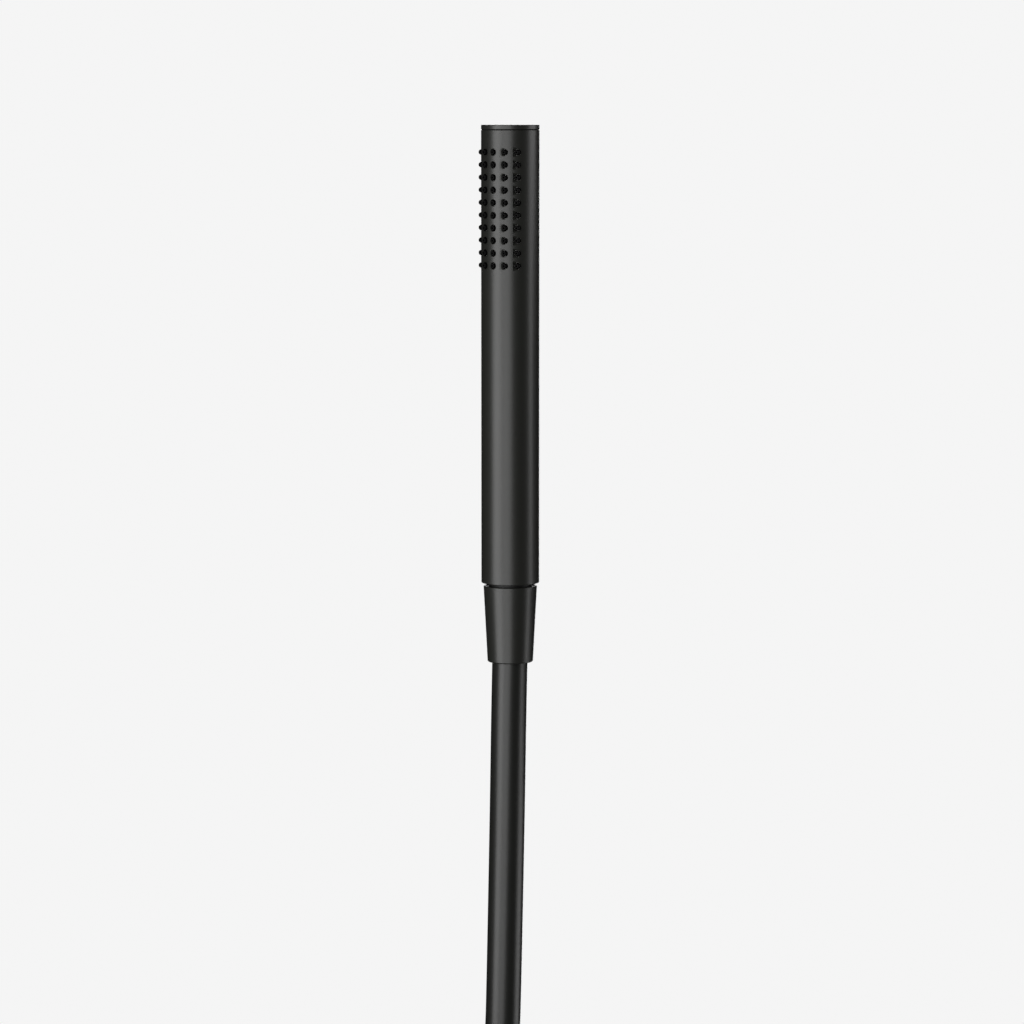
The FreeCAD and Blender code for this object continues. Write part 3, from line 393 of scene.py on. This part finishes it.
between_rows = [last_row + (row - 0.5) * ROW_PITCH for row in range(ROWS + 1)]
tube_outline = rounded(
    [
        (HANDLE_INSIDE, tube_foot, INSIDE_ROUNDING),
        (HANDLE_RADIUS, tube_foot, FOOT_ROUNDING),
        *[(HANDLE_RADIUS, height) for height in between_rows],
        (HANDLE_RADIUS, tube_top, TOP_ROUNDING),
        (HANDLE_INSIDE, tube_top, TOP_ROUNDING),
    ]
)
handle_tube = lathe("handle_tube", tube_outline, sides=TUBE_SIDES)
drill = lathe(
    "drill",
    [
        Vector((HOLE_RADIUS, -DRILL_DEPTH)),
        Vector((HOLE_RADIUS, -HOLE_SAG - HOLE_EASING)),
        Vector((HOLE_RADIUS + HOLE_EASING + DRILL_FLARE, DRILL_FLARE - HOLE_SAG)),
    ],
    sides=DRILL_SIDES,
    ring_shaped=False,
)
drills = set_at_every_nozzle(drill, "drills")
apply_modifier(handle_tube, "BOOLEAN", operation="DIFFERENCE", object=drills, solver="EXACT")
bpy.data.objects.remove(drills)
smooth(handle_tube)

black_coating = finish_material(
    "black_coating",
    base=lambda shader: shader.blend(
        shader.noise(38, 3), (0.0122, 0.0126, 0.0110, 1), (0.0142, 0.0146, 0.0128, 1)
    ),
    roughness=lambda shader: 0.32 + shader.noise(700, 4) * 0.06,
    normal=lambda shader: shader.bump(shader.noise(3800, 4), 0.006 * MM),
)
dress(handle_tube, black_coating)
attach(handle_tube, "handle")
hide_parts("handle_tube")

# ---- Nozzle strip
# One moulding of soft black silicone behind the tube's wall. Its nubs stand out through the
# holes, each with a rounded tip and a fine jet hole, so that lime can be rubbed off.
STRIP_PLAY = 0.05
STRIP_WALL = 1.2
STRIP_OUTSIDE = HANDLE_INSIDE - STRIP_PLAY
STRIP_INSIDE = STRIP_OUTSIDE - STRIP_WALL
STRIP_MARGIN = 3.2
STRIP_EDGE_ANGLE = math.radians(14)
STRIP_HALF_ARC = COLUMNS[-1] * COLUMN_ANGLE + STRIP_EDGE_ANGLE
STRIP_STEPS = 48
NUB_BASE = 1.15
NUB_TIP = 0.9
NUB_REACH = 0.7
NUB_ROOT = -1.5
NUB_SHOULDER = 0.15
JET_HOLE = 0.4
JET_FLOOR = -1.0
NUB_SIDES = 32

strip_height = top_row - last_row + 2 * STRIP_MARGIN
strip_middle = (top_row + last_row) / 2
strip_radius = (STRIP_OUTSIDE + STRIP_INSIDE) / 2
start_afresh()
bpy.ops.mesh.primitive_plane_add(
    size=1,
    location=(
        -math.sin(STRIP_HALF_ARC) * strip_radius * MM,
        -math.cos(STRIP_HALF_ARC) * strip_radius * MM,
        strip_middle * MM,
    ),
    rotation=(0, math.pi / 2, -STRIP_HALF_ARC),
)
strip = bpy.context.object
strip.name = "nozzle_strip"
strip.scale = (strip_height * MM, (STRIP_OUTSIDE - STRIP_INSIDE) * MM, 1)
settle(strip)
bpy.ops.object.mode_set(mode="EDIT")
bpy.ops.mesh.select_all(action="SELECT")
bpy.ops.mesh.spin(
    steps=STRIP_STEPS,
    angle=2 * STRIP_HALF_ARC,
    center=(0, 0, 0),
    axis=(0, 0, 1),
    use_auto_merge=False,
)
bpy.ops.mesh.select_all(action="SELECT")
bpy.ops.mesh.remove_doubles(threshold=MERGE_DISTANCE)
bpy.ops.mesh.normals_make_consistent(inside=False)
bpy.ops.object.mode_set(mode="OBJECT")

nub_outline = rounded(
    [
        (NUB_BASE, NUB_ROOT),
        (NUB_BASE, NUB_SHOULDER, 0.3),
        (NUB_TIP, NUB_REACH, 0.22),
        (JET_HOLE, NUB_REACH, 0.08),
        (JET_HOLE, JET_FLOOR),
    ]
)
nub = lathe("nub", nub_outline, sides=NUB_SIDES, ring_shaped=False)
nubs = set_at_every_nozzle(nub, "nubs")
select_only(strip, nubs)
bpy.ops.object.join()
smooth(strip, 45)

nozzle_silicone = finish_material(
    "nozzle_silicone",
    base=lambda shader: shader.blend(
        shader.noise(160, 3), (0.0015, 0.0015, 0.0015, 1), (0.003, 0.003, 0.003, 1)
    ),
    roughness=lambda shader: 0.5 + shader.noise(900, 3) * 0.1,
    normal=lambda shader: shader.bump(shader.noise(5200, 3), 0.008 * MM),
    fixed={"Specular IOR Level": 0.06},
)
dress(strip, nozzle_silicone)
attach(strip, "handle")
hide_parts("nozzle_strip")

# ---- End cap
# Turned disc, coated like the tube. It plugs into the tube, and its rim rests on a flat rubber
# gasket, set back a little, whose dull black rubber paints the groove's shade as a thin dark line:
# part of the line is real shade in the shallow groove, part is painted shade.
CAP_RIM = 1.9
FIRST_RING = 1.0
CAP_NECK = HANDLE_RADIUS - 0.9
CAP_PLUG = HANDLE_INSIDE - 0.1
RING_GROOVE_FLOOR = HANDLE_INSIDE - 1.74
RING_GROOVE_WIDTH = 2.376
plug_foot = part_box("end_cap")[0][2] / MM
groove_middle = (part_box("cap_o_ring")[0][2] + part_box("cap_o_ring")[1][2]) / 2 / MM
groove_low = groove_middle - RING_GROOVE_WIDTH / 2
groove_high = groove_middle + RING_GROOVE_WIDTH / 2
end_cap = lathe(
    "end_cap",
    rounded(
        [
            (FIRST_RING, plug_foot),
            (CAP_PLUG, plug_foot, 0.3),
            (CAP_PLUG, groove_low),
            (RING_GROOVE_FLOOR, groove_low),
            (RING_GROOVE_FLOOR, groove_high),
            (CAP_PLUG, groove_high),
            (CAP_PLUG, tube_top),
            (CAP_NECK, tube_top),
            (CAP_NECK, cap_top - CAP_RIM),
            (HANDLE_RADIUS, cap_top - CAP_RIM, 0.12),
            (HANDLE_RADIUS, cap_top, 0.3),
            (FIRST_RING, cap_top),
        ]
    ),
    sides=TUBE_SIDES,
    ring_shaped=False,
)
smooth(end_cap)
dress(end_cap, black_coating)
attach(end_cap, "handle")
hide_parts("end_cap")

seal_rubber = finish_material(
    "seal_rubber",
    base=lambda shader: shader.blend(
        shader.noise(420, 4), (0.004, 0.004, 0.004, 1), (0.009, 0.009, 0.009, 1)
    ),
    roughness=lambda shader: 0.6 + shader.noise(1500, 3) * 0.15,
    normal=lambda shader: shader.bump(shader.noise(4200, 4), 0.015 * MM),
    fixed={"Specular IOR Level": 0.08},
)
# The gasket's dull black rubber stands in for the shade in the groove under the cap's rim: painted
# shade, on top of the groove's real shade.
GASKET_OUTSIDE = HANDLE_RADIUS - 0.25
GASKET_EDGE = 0.12
cap_gasket = lathe(
    "cap_gasket",
    rounded(
        [
            (CAP_NECK, tube_top),
            (GASKET_OUTSIDE, tube_top, GASKET_EDGE),
            (GASKET_OUTSIDE, cap_top - CAP_RIM, GASKET_EDGE),
            (CAP_NECK, cap_top - CAP_RIM),
        ]
    ),
)
smooth(cap_gasket)
dress(cap_gasket, seal_rubber)
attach(cap_gasket, "handle")
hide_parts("cap_gasket")

# ---- Carrier, pipe and seals
# Inside the tube a moulded chamber feeds the strip, and a plain plastic pipe feeds the chamber.
# Rubber O-rings seal both, and the cap. None of them shows.
inner_plastic = finish_material(
    "inner_plastic",
    base=lambda shader: shader.blend(
        shader.noise(70, 3), (0.56, 0.56, 0.54, 1), (0.63, 0.63, 0.61, 1)
    ),
    roughness=lambda shader: 0.4 + shader.noise(900, 3) * 0.1,
    normal=lambda shader: shader.bump(shader.noise(3200, 3), 0.006 * MM),
)


def dress_nodes(names, material):
    """Give CAD nodes that stay as they are their material."""
    for name in names:
        dress(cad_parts[name], material)


dress_nodes(("nozzle_carrier", "waterway_tube"), inner_plastic)
dress_nodes(("cap_o_ring", "carrier_o_ring", "waterway_o_rings"), seal_rubber)

# ---- Inlet adapter
# Turned brass, blackened in a bath, so duller than the coating. It closes the foot of the tube
# and carries the G1/2 nipple that the cone nut screws onto; only its neck shows, in the seam.
blackened_brass = finish_material(
    "blackened_brass",
    base=lambda shader: shader.blend(
        shader.noise(90, 4), (0.006, 0.006, 0.0056, 1), (0.0095, 0.0095, 0.0089, 1)
    ),
    roughness=lambda shader: 0.46 + shader.noise(800, 3) * 0.1,
    normal=lambda shader: shader.bump(shader.noise(3000, 3), 0.005 * MM),
    fixed={"Specular IOR Level": 0.34},
)
dress_nodes(("inlet_adapter",), blackened_brass)
dress_nodes(("adapter_o_ring",), seal_rubber)

# ---- Flow regulator and non-return valve
# Two moulded cartridges in the adapter's bore, one with a rubber ring in its recess and one with
# a poppet that a steel spring pushes onto its seat. Neither shows.
spring_steel = finish_material(
    "spring_steel",
    base=lambda shader: shader.blend(
        shader.noise(240, 3), (0.52, 0.51, 0.49, 1), (0.6, 0.59, 0.57, 1)
    ),
    roughness=lambda shader: 0.24 + shader.noise(1900, 4) * 0.12,
    normal=lambda shader: shader.bump(shader.noise(6000, 3), 0.004 * MM),
    fixed={"Metallic": 1.0},
)
dress_nodes(("flow_regulator", "valve_body", "valve_poppet"), inner_plastic)
dress_nodes(("regulator_ring", "valve_body_o_ring", "valve_seal"), seal_rubber)

SPRING_RADIUS = 2.0
WIRE_RADIUS = 0.25
SPRING_TURNS = 5
WIRE_SIDES = 12
STEPS_PER_COIL = 32
spring_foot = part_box("valve_spring")[0][2] / MM
spring_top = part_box("valve_spring")[1][2] / MM
spring_length = spring_top - spring_foot
start_afresh()
bpy.ops.mesh.primitive_circle_add(
    vertices=WIRE_SIDES,
    radius=WIRE_RADIUS * MM,
    location=(SPRING_RADIUS * MM, 0, (spring_foot + WIRE_RADIUS) * MM),
    rotation=(math.pi / 2, 0, 0),
)
spring = bpy.context.object
spring.name = "valve_spring"
settle(spring)
apply_modifier(
    spring,
    "SCREW",
    axis="Z",
    steps=STEPS_PER_COIL,
    render_steps=STEPS_PER_COIL,
    iterations=SPRING_TURNS,
    screw_offset=(spring_length - 2 * WIRE_RADIUS) / SPRING_TURNS * MM,
)
bpy.ops.object.mode_set(mode="EDIT")
bpy.ops.mesh.select_all(action="SELECT")
bpy.ops.mesh.fill_holes(sides=0)
bpy.ops.mesh.select_all(action="SELECT")
bpy.ops.mesh.normals_make_consistent(inside=False)
bpy.ops.object.mode_set(mode="OBJECT")
smooth(spring)
dress(spring, spring_steel)
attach(spring, "handle")
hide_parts("valve_spring")
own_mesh(spring)

# ---- Cone nut
# Turned brass, coated black, smooth outside so that it drops into a wall holder. It is bored in
# steps for the washer, the swivel and the hose.
nipple_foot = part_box("inlet_adapter")[0][2] / MM
nut_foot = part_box("cone_nut")[0][2] / MM
nut_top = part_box("cone_nut")[1][2] / MM
NUT_TOP_RADIUS = 11.575
NUT_FOOT_RADIUS = 9.825
HOSE_HOLE = 8.2
NUT_THREAD_RADIUS = 10.5
WASHER_SEAT = 9.6
WASHER_DEPTH = 4.5
SWIVEL_BORE = 9.0
SWIVEL_DEPTH = 11
cone_nut = lathe(
    "cone_nut",
    rounded(
        [
            (HOSE_HOLE, nut_foot, 0.25),
            (NUT_FOOT_RADIUS, nut_foot, 0.6),
            (NUT_TOP_RADIUS, nut_top, 0.4),
            (NUT_THREAD_RADIUS, nut_top, 0.2),
            (NUT_THREAD_RADIUS, nipple_foot),
            (WASHER_SEAT, nipple_foot),
            (WASHER_SEAT, nipple_foot - WASHER_DEPTH),
            (SWIVEL_BORE, nipple_foot - WASHER_DEPTH),
            (SWIVEL_BORE, nipple_foot - SWIVEL_DEPTH),
            (HOSE_HOLE, nipple_foot - SWIVEL_DEPTH),
        ]
    ),
    sides=TUBE_SIDES,
)
smooth(cone_nut)
dress(cone_nut, black_coating)
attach(cone_nut, "handle")
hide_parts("cone_nut")

# ---- Swivel and hose tail
# A brass stem under a filter washer, and the barbed tail that turns on it, on a slippery bush.
# The hose is pushed onto the barbs and held by a thin steel ferrule, all inside the nut.
plain_brass = finish_material(
    "plain_brass",
    base=lambda shader: shader.blend(
        shader.noise(160, 4), (0.56, 0.41, 0.17, 1), (0.66, 0.5, 0.24, 1)
    ),
    roughness=lambda shader: 0.26
    + shader.noise(900, 4, where=shader.place(stretch=(0.2, 0.2, 6))) * 0.16,
    normal=lambda shader: shader.bump(
        shader.noise(1400, 3, where=shader.place(stretch=(0.1, 0.1, 5))), 0.006 * MM
    ),
    fixed={"Metallic": 1.0},
)
dress_nodes(("filter_washer", "swivel_o_ring"), seal_rubber)
dress_nodes(("filter_mesh", "crimp_ferrule"), spring_steel)
dress_nodes(("swivel_stem", "hose_tail"), plain_brass)
dress_nodes(("swivel_bush",), inner_plastic)

# ---- Hose
# A smooth satin-black plastic hose, 1.5 m long. It hangs from the nut, leans a little to one
# side, and its spare length is folded below in a tied hank.
HOSE_DIAMETER = 15.35 * MM
LAYER_PITCH = 17 * MM
FOLD_RADIUS = 46 * MM
HANK_X = 30 * MM
UPPER_FOLD_Z = -254 * MM
LOWER_FOLD_Z = -374 * MM
wall_hose_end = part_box("hose_hank")[0][2]

FREE_STRETCH = [
    (-0.2, 0.0, -15.6),
    (-0.8, 0.0, -38.0),
    (-1.45, 0.0, -76.0),
    (-2.85, 0.0, -136.0),
    (-4.5, 0.0, -196.0),
]
HANK_ENTRY = [
    (-10.5, 0.0, -224.0),
    (-15.4, 0.0, -252.0),
]
STEPS_PER_FOLD = 6
SHIFT_ARC = math.radians(130)
WHOLE_TURNS = 2


def fold_points(centre_z, first_y, last_y, going_down):
    """Control points of one half turn, and a point on the run at each end of it."""
    step = math.pi / STEPS_PER_FOLD
    reach = FOLD_RADIUS / math.cos(step / 2)
    half_leg = FOLD_RADIUS * math.tan(step / 2)
    side = -1 if going_down else 1
    points = [(HANK_X + side * FOLD_RADIUS, first_y, centre_z - side * half_leg)]
    for k in range(STEPS_PER_FOLD):
        angle = (k + 0.5) * step
        share = min(1.0, angle / SHIFT_ARC)
        eased = share * share * (3 - 2 * share)
        points.append(
            (
                HANK_X + side * reach * math.cos(angle),
                first_y + (last_y - first_y) * eased,
                centre_z + side * reach * math.sin(angle),
            )
        )
    points.append((HANK_X - side * FOLD_RADIUS, last_y, centre_z - side * half_leg))
    return points


hose_points = [Vector(point) * MM for point in FREE_STRETCH + HANK_ENTRY]
for layer in range(WHOLE_TURNS):
    y = layer * LAYER_PITCH
    hose_points += [
        Vector(p) for p in fold_points(LOWER_FOLD_Z, y, y + LAYER_PITCH / 2, True)
    ]
    hose_points += [
        Vector(p)
        for p in fold_points(UPPER_FOLD_Z, y + LAYER_PITCH / 2, y + LAYER_PITCH, False)
    ]
last_run_x = HANK_X - FOLD_RADIUS
last_run_y = WHOLE_TURNS * LAYER_PITCH
hose_points.append(Vector((last_run_x, last_run_y, LOWER_FOLD_Z)))
hose_points.append(Vector((last_run_x, last_run_y, wall_hose_end)))

hose_line = bpy.data.curves.new("hose", "CURVE")
hose_line.dimensions = "3D"
spline = hose_line.splines.new("NURBS")
spline.points.add(len(hose_points) - 1)
for point, place in zip(spline.points, hose_points):
    point.co = (*place, 1)
spline.order_u = 3
spline.use_endpoint_u = True
spline.resolution_u = 12
hose_line.bevel_depth = HOSE_DIAMETER / 2
hose_line.bevel_resolution = 12
hose_line.use_fill_caps = True
hose = bpy.data.objects.new("hose", hose_line)
bpy.context.collection.objects.link(hose)

hose_plastic = finish_material(
    "hose_plastic",
    base=lambda shader: shader.blend(
        shader.noise(55, 4), (0.0086, 0.0089, 0.0079, 1), (0.0104, 0.0107, 0.0096, 1)
    ),
    roughness=lambda shader: 0.335 + shader.noise(420, 4) * 0.06,
    normal=lambda shader: shader.bump(shader.noise(2600, 3), 0.01 * MM),
)
dress(hose, hose_plastic)

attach(hose, "hose")
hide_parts("hose_tube", "hose_hank")

# ---- Hose ties
# Two hook-and-loop straps hold the folded hose, one round its three runs on the left and one
# round its two runs on the right. Each strap's rounded free end is pressed onto its first turn.
STRAP_WALL = 1.2
STRAP_EDGE = 0.35
STRAP_PLAY = 0.05
OVERLAP_WALL = 0.9
OVERLAP_MARGIN = 0.3
OVERLAP_START = 5.5
OVERLAP_EDGE = 0.2
END_ROUNDING = 4.8
HAIR = 0.01 * MM
BAND_SIDES = 72
HOSE_RADIUS = HOSE_DIAMETER / MM / 2


def pick(piece, chosen):
    """Select the corners whose place passes the test, and the edges and faces between them."""
    corners = piece.data.vertices
    for corner in corners:
        corner.select = chosen(corner.co)
    for part in (*piece.data.edges, *piece.data.polygons):
        part.select = all(corners[k].select for k in part.vertices)


def strap_turn(name, radius, across, foot, height, first_run, last_run):
    """One thin turn of strap round a row of hose runs, from the first run's depth to the last's."""
    start_afresh()
    middle = (first_run + last_run) / 2 * MM
    bpy.ops.mesh.primitive_circle_add(
        vertices=BAND_SIDES,
        radius=radius * MM,
        location=(across * MM, middle, foot * MM),
        rotation=(0, 0, math.pi / BAND_SIDES),
    )
    turn = bpy.context.object
    turn.name = name
    settle(turn)
    pick(turn, lambda place: place.y > middle)
    spread = (last_run - first_run) / 2 * MM
    bpy.ops.object.mode_set(mode="EDIT")
    bpy.ops.transform.translate(value=(0, spread, 0))
    bpy.ops.mesh.select_all(action="INVERT")
    bpy.ops.transform.translate(value=(0, -spread, 0))
    bpy.ops.mesh.select_all(action="SELECT")
    bpy.ops.mesh.extrude_edges_move(TRANSFORM_OT_translate={"value": (0, 0, height * MM)})
    bpy.ops.mesh.select_all(action="SELECT")
    bpy.ops.mesh.normals_make_consistent(inside=False)
    bpy.ops.object.mode_set(mode="OBJECT")
    return turn


def strap_tie(name, across, foot, height, first_run, last_run):
    """A strap of one whole turn, and the part that laps over it on the left."""
    inside = HOSE_RADIUS + STRAP_PLAY
    band = strap_turn(name, inside, across, foot, height, first_run, last_run)
    apply_modifier(band, "SOLIDIFY", thickness=STRAP_WALL * MM, offset=1, use_even_offset=True)
    apply_modifier(
        band, "BEVEL", width=STRAP_EDGE * MM, segments=3, limit_method="ANGLE", angle_limit=0.9
    )

    overlap = strap_turn(
        "overlap",
        inside + STRAP_WALL - STRAP_PLAY,
        across,
        foot + OVERLAP_MARGIN,
        height - 2 * OVERLAP_MARGIN,
        first_run,
        last_run,
    )
    free_end = (first_run + OVERLAP_START) * MM
    seam = across * MM
    bpy.ops.object.mode_set(mode="EDIT")
    bpy.ops.mesh.select_all(action="SELECT")
    bpy.ops.mesh.bisect(plane_co=(0, free_end, 0), plane_no=(0, 1, 0), clear_inner=True)
    bpy.ops.mesh.select_all(action="SELECT")
    bpy.ops.mesh.bisect(plane_co=(seam, 0, 0), plane_no=(1, 0, 0), clear_outer=True)
    bpy.ops.object.mode_set(mode="OBJECT")
    pick(overlap, lambda place: place.y < free_end + HAIR)
    bpy.ops.object.mode_set(mode="EDIT")
    bpy.ops.mesh.bevel(offset=END_ROUNDING * MM, segments=8, affect="VERTICES")
    bpy.ops.object.mode_set(mode="OBJECT")
    apply_modifier(overlap, "SOLIDIFY", thickness=OVERLAP_WALL * MM, offset=1, use_even_offset=True)
    pick(overlap, lambda place: place.x > seam - HAIR)
    bpy.ops.object.mode_set(mode="EDIT")
    bpy.ops.transform.translate(value=(0, -OVERLAP_WALL * MM, 0))
    bpy.ops.object.mode_set(mode="OBJECT")
    apply_modifier(
        overlap, "BEVEL", width=OVERLAP_EDGE * MM, segments=2, limit_method="ANGLE", angle_limit=0.9
    )
    select_only(band, overlap)
    bpy.ops.object.join()
    smooth(band, 50)
    return band


strap_fabric = finish_material(
    "strap_fabric",
    base=lambda shader: shader.blend(
        shader.noise(1500, 4), (0.006, 0.006, 0.0065, 1), (0.028, 0.028, 0.03, 1)
    ),
    roughness=lambda shader: 0.82 + shader.noise(900, 3) * 0.15,
    normal=lambda shader: shader.bump(
        shader.noise(2300, 5, roughness=0.7) + shader.noise(5200, 2) * 0.5, 0.16 * MM
    ),
)
for node, first_run, last_run in (("hose_tie_left", 0, 2), ("hose_tie_right", 0.5, 1.5)):
    low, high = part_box(node)
    tie = strap_tie(
        node,
        (low[0] + high[0]) / 2 / MM,
        low[2] / MM,
        (high[2] - low[2]) / MM,
        first_run * LAYER_PITCH / MM,
        last_run * LAYER_PITCH / MM,
    )
    dress(tie, strap_fabric)
    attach(tie, "hose")
    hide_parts(node)

# ---- Wall end of the hose
# A steel ferrule, pressed in round its middle, holds the hose on a brass tail. The tail's flange
# carries a flat rubber washer.
CRIMP_FLUTES = 10
CRIMP_DEPTH = 0.3
CRIMP_MARGIN = 2.2
CRIMP_SLOPE = 0.6
SIDES_PER_FLUTE = 12
RIB_SHARE = 0.2
NEARLY = 0.1
FERRULE_OUTSIDE = 7.875
FERRULE_INSIDE = 7.175
wall_x = HANK_X / MM - FOLD_RADIUS / MM
wall_y = WHOLE_TURNS * LAYER_PITCH / MM
ferrule_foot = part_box("wall_ferrule")[0][2] / MM
ferrule_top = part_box("wall_ferrule")[1][2] / MM
crimp_foot = ferrule_foot + CRIMP_MARGIN
crimp_top = ferrule_top - CRIMP_MARGIN
wall_ferrule = lathe(
    "wall_ferrule",
    rounded(
        [
            (FERRULE_INSIDE, ferrule_foot, 0.15),
            (FERRULE_OUTSIDE, ferrule_foot, 0.3),
            (FERRULE_OUTSIDE, crimp_foot - CRIMP_SLOPE),
            (FERRULE_OUTSIDE, crimp_foot),
            (FERRULE_OUTSIDE, crimp_top),
            (FERRULE_OUTSIDE, crimp_top + CRIMP_SLOPE),
            (FERRULE_OUTSIDE, ferrule_top, 0.3),
            (FERRULE_INSIDE, ferrule_top, 0.15),
        ]
    ),
    across=wall_x,
    depth=wall_y,
    sides=CRIMP_FLUTES * SIDES_PER_FLUTE,
)


def in_a_crimp(place):
    """Whether a corner of the ferrule is on its outside, between two of the standing ribs."""
    spoke = Vector(place[:2]) / MM - Vector((wall_x, wall_y))
    share = math.atan2(spoke.y, spoke.x) / math.tau * CRIMP_FLUTES % 1
    in_band = crimp_foot - NEARLY < place.z / MM < crimp_top + NEARLY
    outside = spoke.length > FERRULE_OUTSIDE - NEARLY
    return in_band and outside and RIB_SHARE < share < 1 - RIB_SHARE


select_only(wall_ferrule)
pick(wall_ferrule, in_a_crimp)
bpy.ops.object.mode_set(mode="EDIT")
pinch = 1 - CRIMP_DEPTH / FERRULE_OUTSIDE
bpy.ops.transform.resize(
    value=(pinch, pinch, 1), center_override=(wall_x * MM, wall_y * MM, crimp_foot * MM)
)
bpy.ops.object.mode_set(mode="OBJECT")
smooth(wall_ferrule, 30)
dress(wall_ferrule, black_coating)
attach(wall_ferrule, "hose")
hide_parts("wall_ferrule")

WASHER_INSIDE = 6.0
WASHER_OUTSIDE = 9.3
WASHER_EDGE = 0.3
washer_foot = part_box("wall_washer")[0][2] / MM
washer_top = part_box("wall_washer")[1][2] / MM
wall_washer = lathe(
    "wall_washer",
    rounded(
        [
            (WASHER_INSIDE, washer_foot, WASHER_EDGE),
            (WASHER_OUTSIDE, washer_foot, WASHER_EDGE),
            (WASHER_OUTSIDE, washer_top, WASHER_EDGE),
            (WASHER_INSIDE, washer_top, WASHER_EDGE),
        ]
    ),
    across=wall_x,
    depth=wall_y,
    sides=96,
)
smooth(wall_washer)
dress(wall_washer, seal_rubber)
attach(wall_washer, "hose")
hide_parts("wall_washer")
dress_nodes(("wall_tail",), plain_brass)
dress_nodes(("hose_ends",), hose_plastic)

# ---- Wall nut
# Brass coupling nut, coated black, that screws onto the wall outlet. It has a chamfered hexagon
# for a spanner, a round collar above, and a G1/2 thread inside.
NUT_FLATS = 24.0
HEXAGON_HEIGHT = 9.0
HEXAGON_CHAMFER = 1.15
FACE_RADIUS = NUT_FLATS / 2 - 0.1
NUT_EDGE = 0.18
NUT_COLLAR = 11.7
NUT_BORE = 10.5
NUT_RELIEF = 10.8
NUT_SHOULDER = 12.7
NECK_HOLE = 8.3
THREAD_PITCH = 1.814
THREAD_CREST = 9.6
THREAD_TURNS = 3
THREAD_START = 1.1
THREAD_ROOT = NUT_BORE + 0.2
THREAD_BASE = 1.7
THREAD_CREST_SHARE = 0.18
THREAD_STEPS = 60
THREAD_DEPTH = 8.0
CUTTER_REACH = 8
CUTTER_OVERHANG = 1
nut_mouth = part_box("wall_nut")[0][2] / MM
nut_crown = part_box("wall_nut")[1][2] / MM
hex_corner = NUT_FLATS / 2 / math.cos(math.pi / 6)
wall_nut = lathe(
    "wall_nut",
    rounded(
        [
            (NUT_BORE, nut_mouth, 0.3),
            (FACE_RADIUS, nut_mouth),
            (hex_corner, nut_mouth + HEXAGON_CHAMFER),
            (hex_corner, nut_mouth + HEXAGON_HEIGHT - HEXAGON_CHAMFER),
            (FACE_RADIUS, nut_mouth + HEXAGON_HEIGHT),
            (NUT_COLLAR, nut_mouth + HEXAGON_HEIGHT),
            (NUT_COLLAR, nut_crown, 0.6),
            (NECK_HOLE, nut_crown, 0.25),
            (NECK_HOLE, nut_mouth + NUT_SHOULDER),
            (NUT_RELIEF, nut_mouth + NUT_SHOULDER),
            (NUT_RELIEF, nut_mouth + THREAD_DEPTH),
            (NUT_BORE, nut_mouth + THREAD_DEPTH),
        ]
    ),
    across=wall_x,
    depth=wall_y,
    sides=180,
)
flats_cutter = lathe(
    "flats_cutter",
    [
        Vector((hex_corner, nut_mouth - CUTTER_OVERHANG)),
        Vector((hex_corner + CUTTER_REACH, nut_mouth - CUTTER_OVERHANG)),
        Vector((hex_corner + CUTTER_REACH, nut_mouth + HEXAGON_HEIGHT + CUTTER_OVERHANG)),
        Vector((hex_corner, nut_mouth + HEXAGON_HEIGHT + CUTTER_OVERHANG)),
    ],
    across=wall_x,
    depth=wall_y,
    sides=6,
)
select_only(flats_cutter)
bpy.ops.object.mode_set(mode="EDIT")
bpy.ops.mesh.select_all(action="SELECT")
bpy.ops.transform.rotate(
    value=math.radians(30),
    orient_axis="Z",
    center_override=(wall_x * MM, wall_y * MM, nut_mouth * MM),
)
bpy.ops.object.mode_set(mode="OBJECT")
apply_modifier(wall_nut, "BOOLEAN", operation="DIFFERENCE", object=flats_cutter, solver="EXACT")
bpy.data.objects.remove(flats_cutter)
bpy.ops.object.mode_set(mode="EDIT")
bpy.ops.mesh.select_all(action="SELECT")
bpy.ops.mesh.remove_doubles(threshold=HAIR)
bpy.ops.mesh.dissolve_degenerate(threshold=HAIR / 2)
bpy.ops.object.mode_set(mode="OBJECT")
apply_modifier(
    wall_nut, "BEVEL", width=NUT_EDGE * MM, segments=2, limit_method="ANGLE", angle_limit=0.6
)

start_afresh()
bpy.ops.mesh.primitive_plane_add(
    size=1,
    location=((THREAD_CREST + THREAD_ROOT) / 2 * MM, 0, (nut_mouth + THREAD_START) * MM),
    rotation=(math.pi / 2, 0, 0),
)
thread = bpy.context.object
thread.name = "thread"
thread.scale = ((THREAD_ROOT - THREAD_CREST) * MM, THREAD_BASE * MM, 1)
settle(thread)
pick(thread, lambda place: place.x < (THREAD_CREST + NEARLY) * MM)
bpy.ops.object.mode_set(mode="EDIT")
bpy.ops.transform.resize(
    value=(1, 1, THREAD_CREST_SHARE),
    center_override=(THREAD_CREST * MM, 0, (nut_mouth + THREAD_START) * MM),
)
bpy.ops.mesh.select_all(action="SELECT")
bpy.ops.mesh.delete(type="ONLY_FACE")
bpy.ops.object.mode_set(mode="OBJECT")
apply_modifier(
    thread,
    "SCREW",
    axis="Z",
    steps=THREAD_STEPS,
    render_steps=THREAD_STEPS,
    iterations=THREAD_TURNS,
    screw_offset=THREAD_PITCH * MM,
)
bpy.ops.object.mode_set(mode="EDIT")
bpy.ops.mesh.select_all(action="SELECT")
bpy.ops.mesh.fill_holes(sides=0)
bpy.ops.mesh.select_all(action="SELECT")
bpy.ops.mesh.normals_make_consistent(inside=False)
bpy.ops.transform.translate(value=(wall_x * MM, wall_y * MM, 0))
bpy.ops.object.mode_set(mode="OBJECT")
settle(thread)
select_only(wall_nut, thread)
bpy.ops.object.join()
smooth(wall_nut, 30)
dress(wall_nut, black_coating)
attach(wall_nut, "wall_nut")
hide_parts("wall_nut")
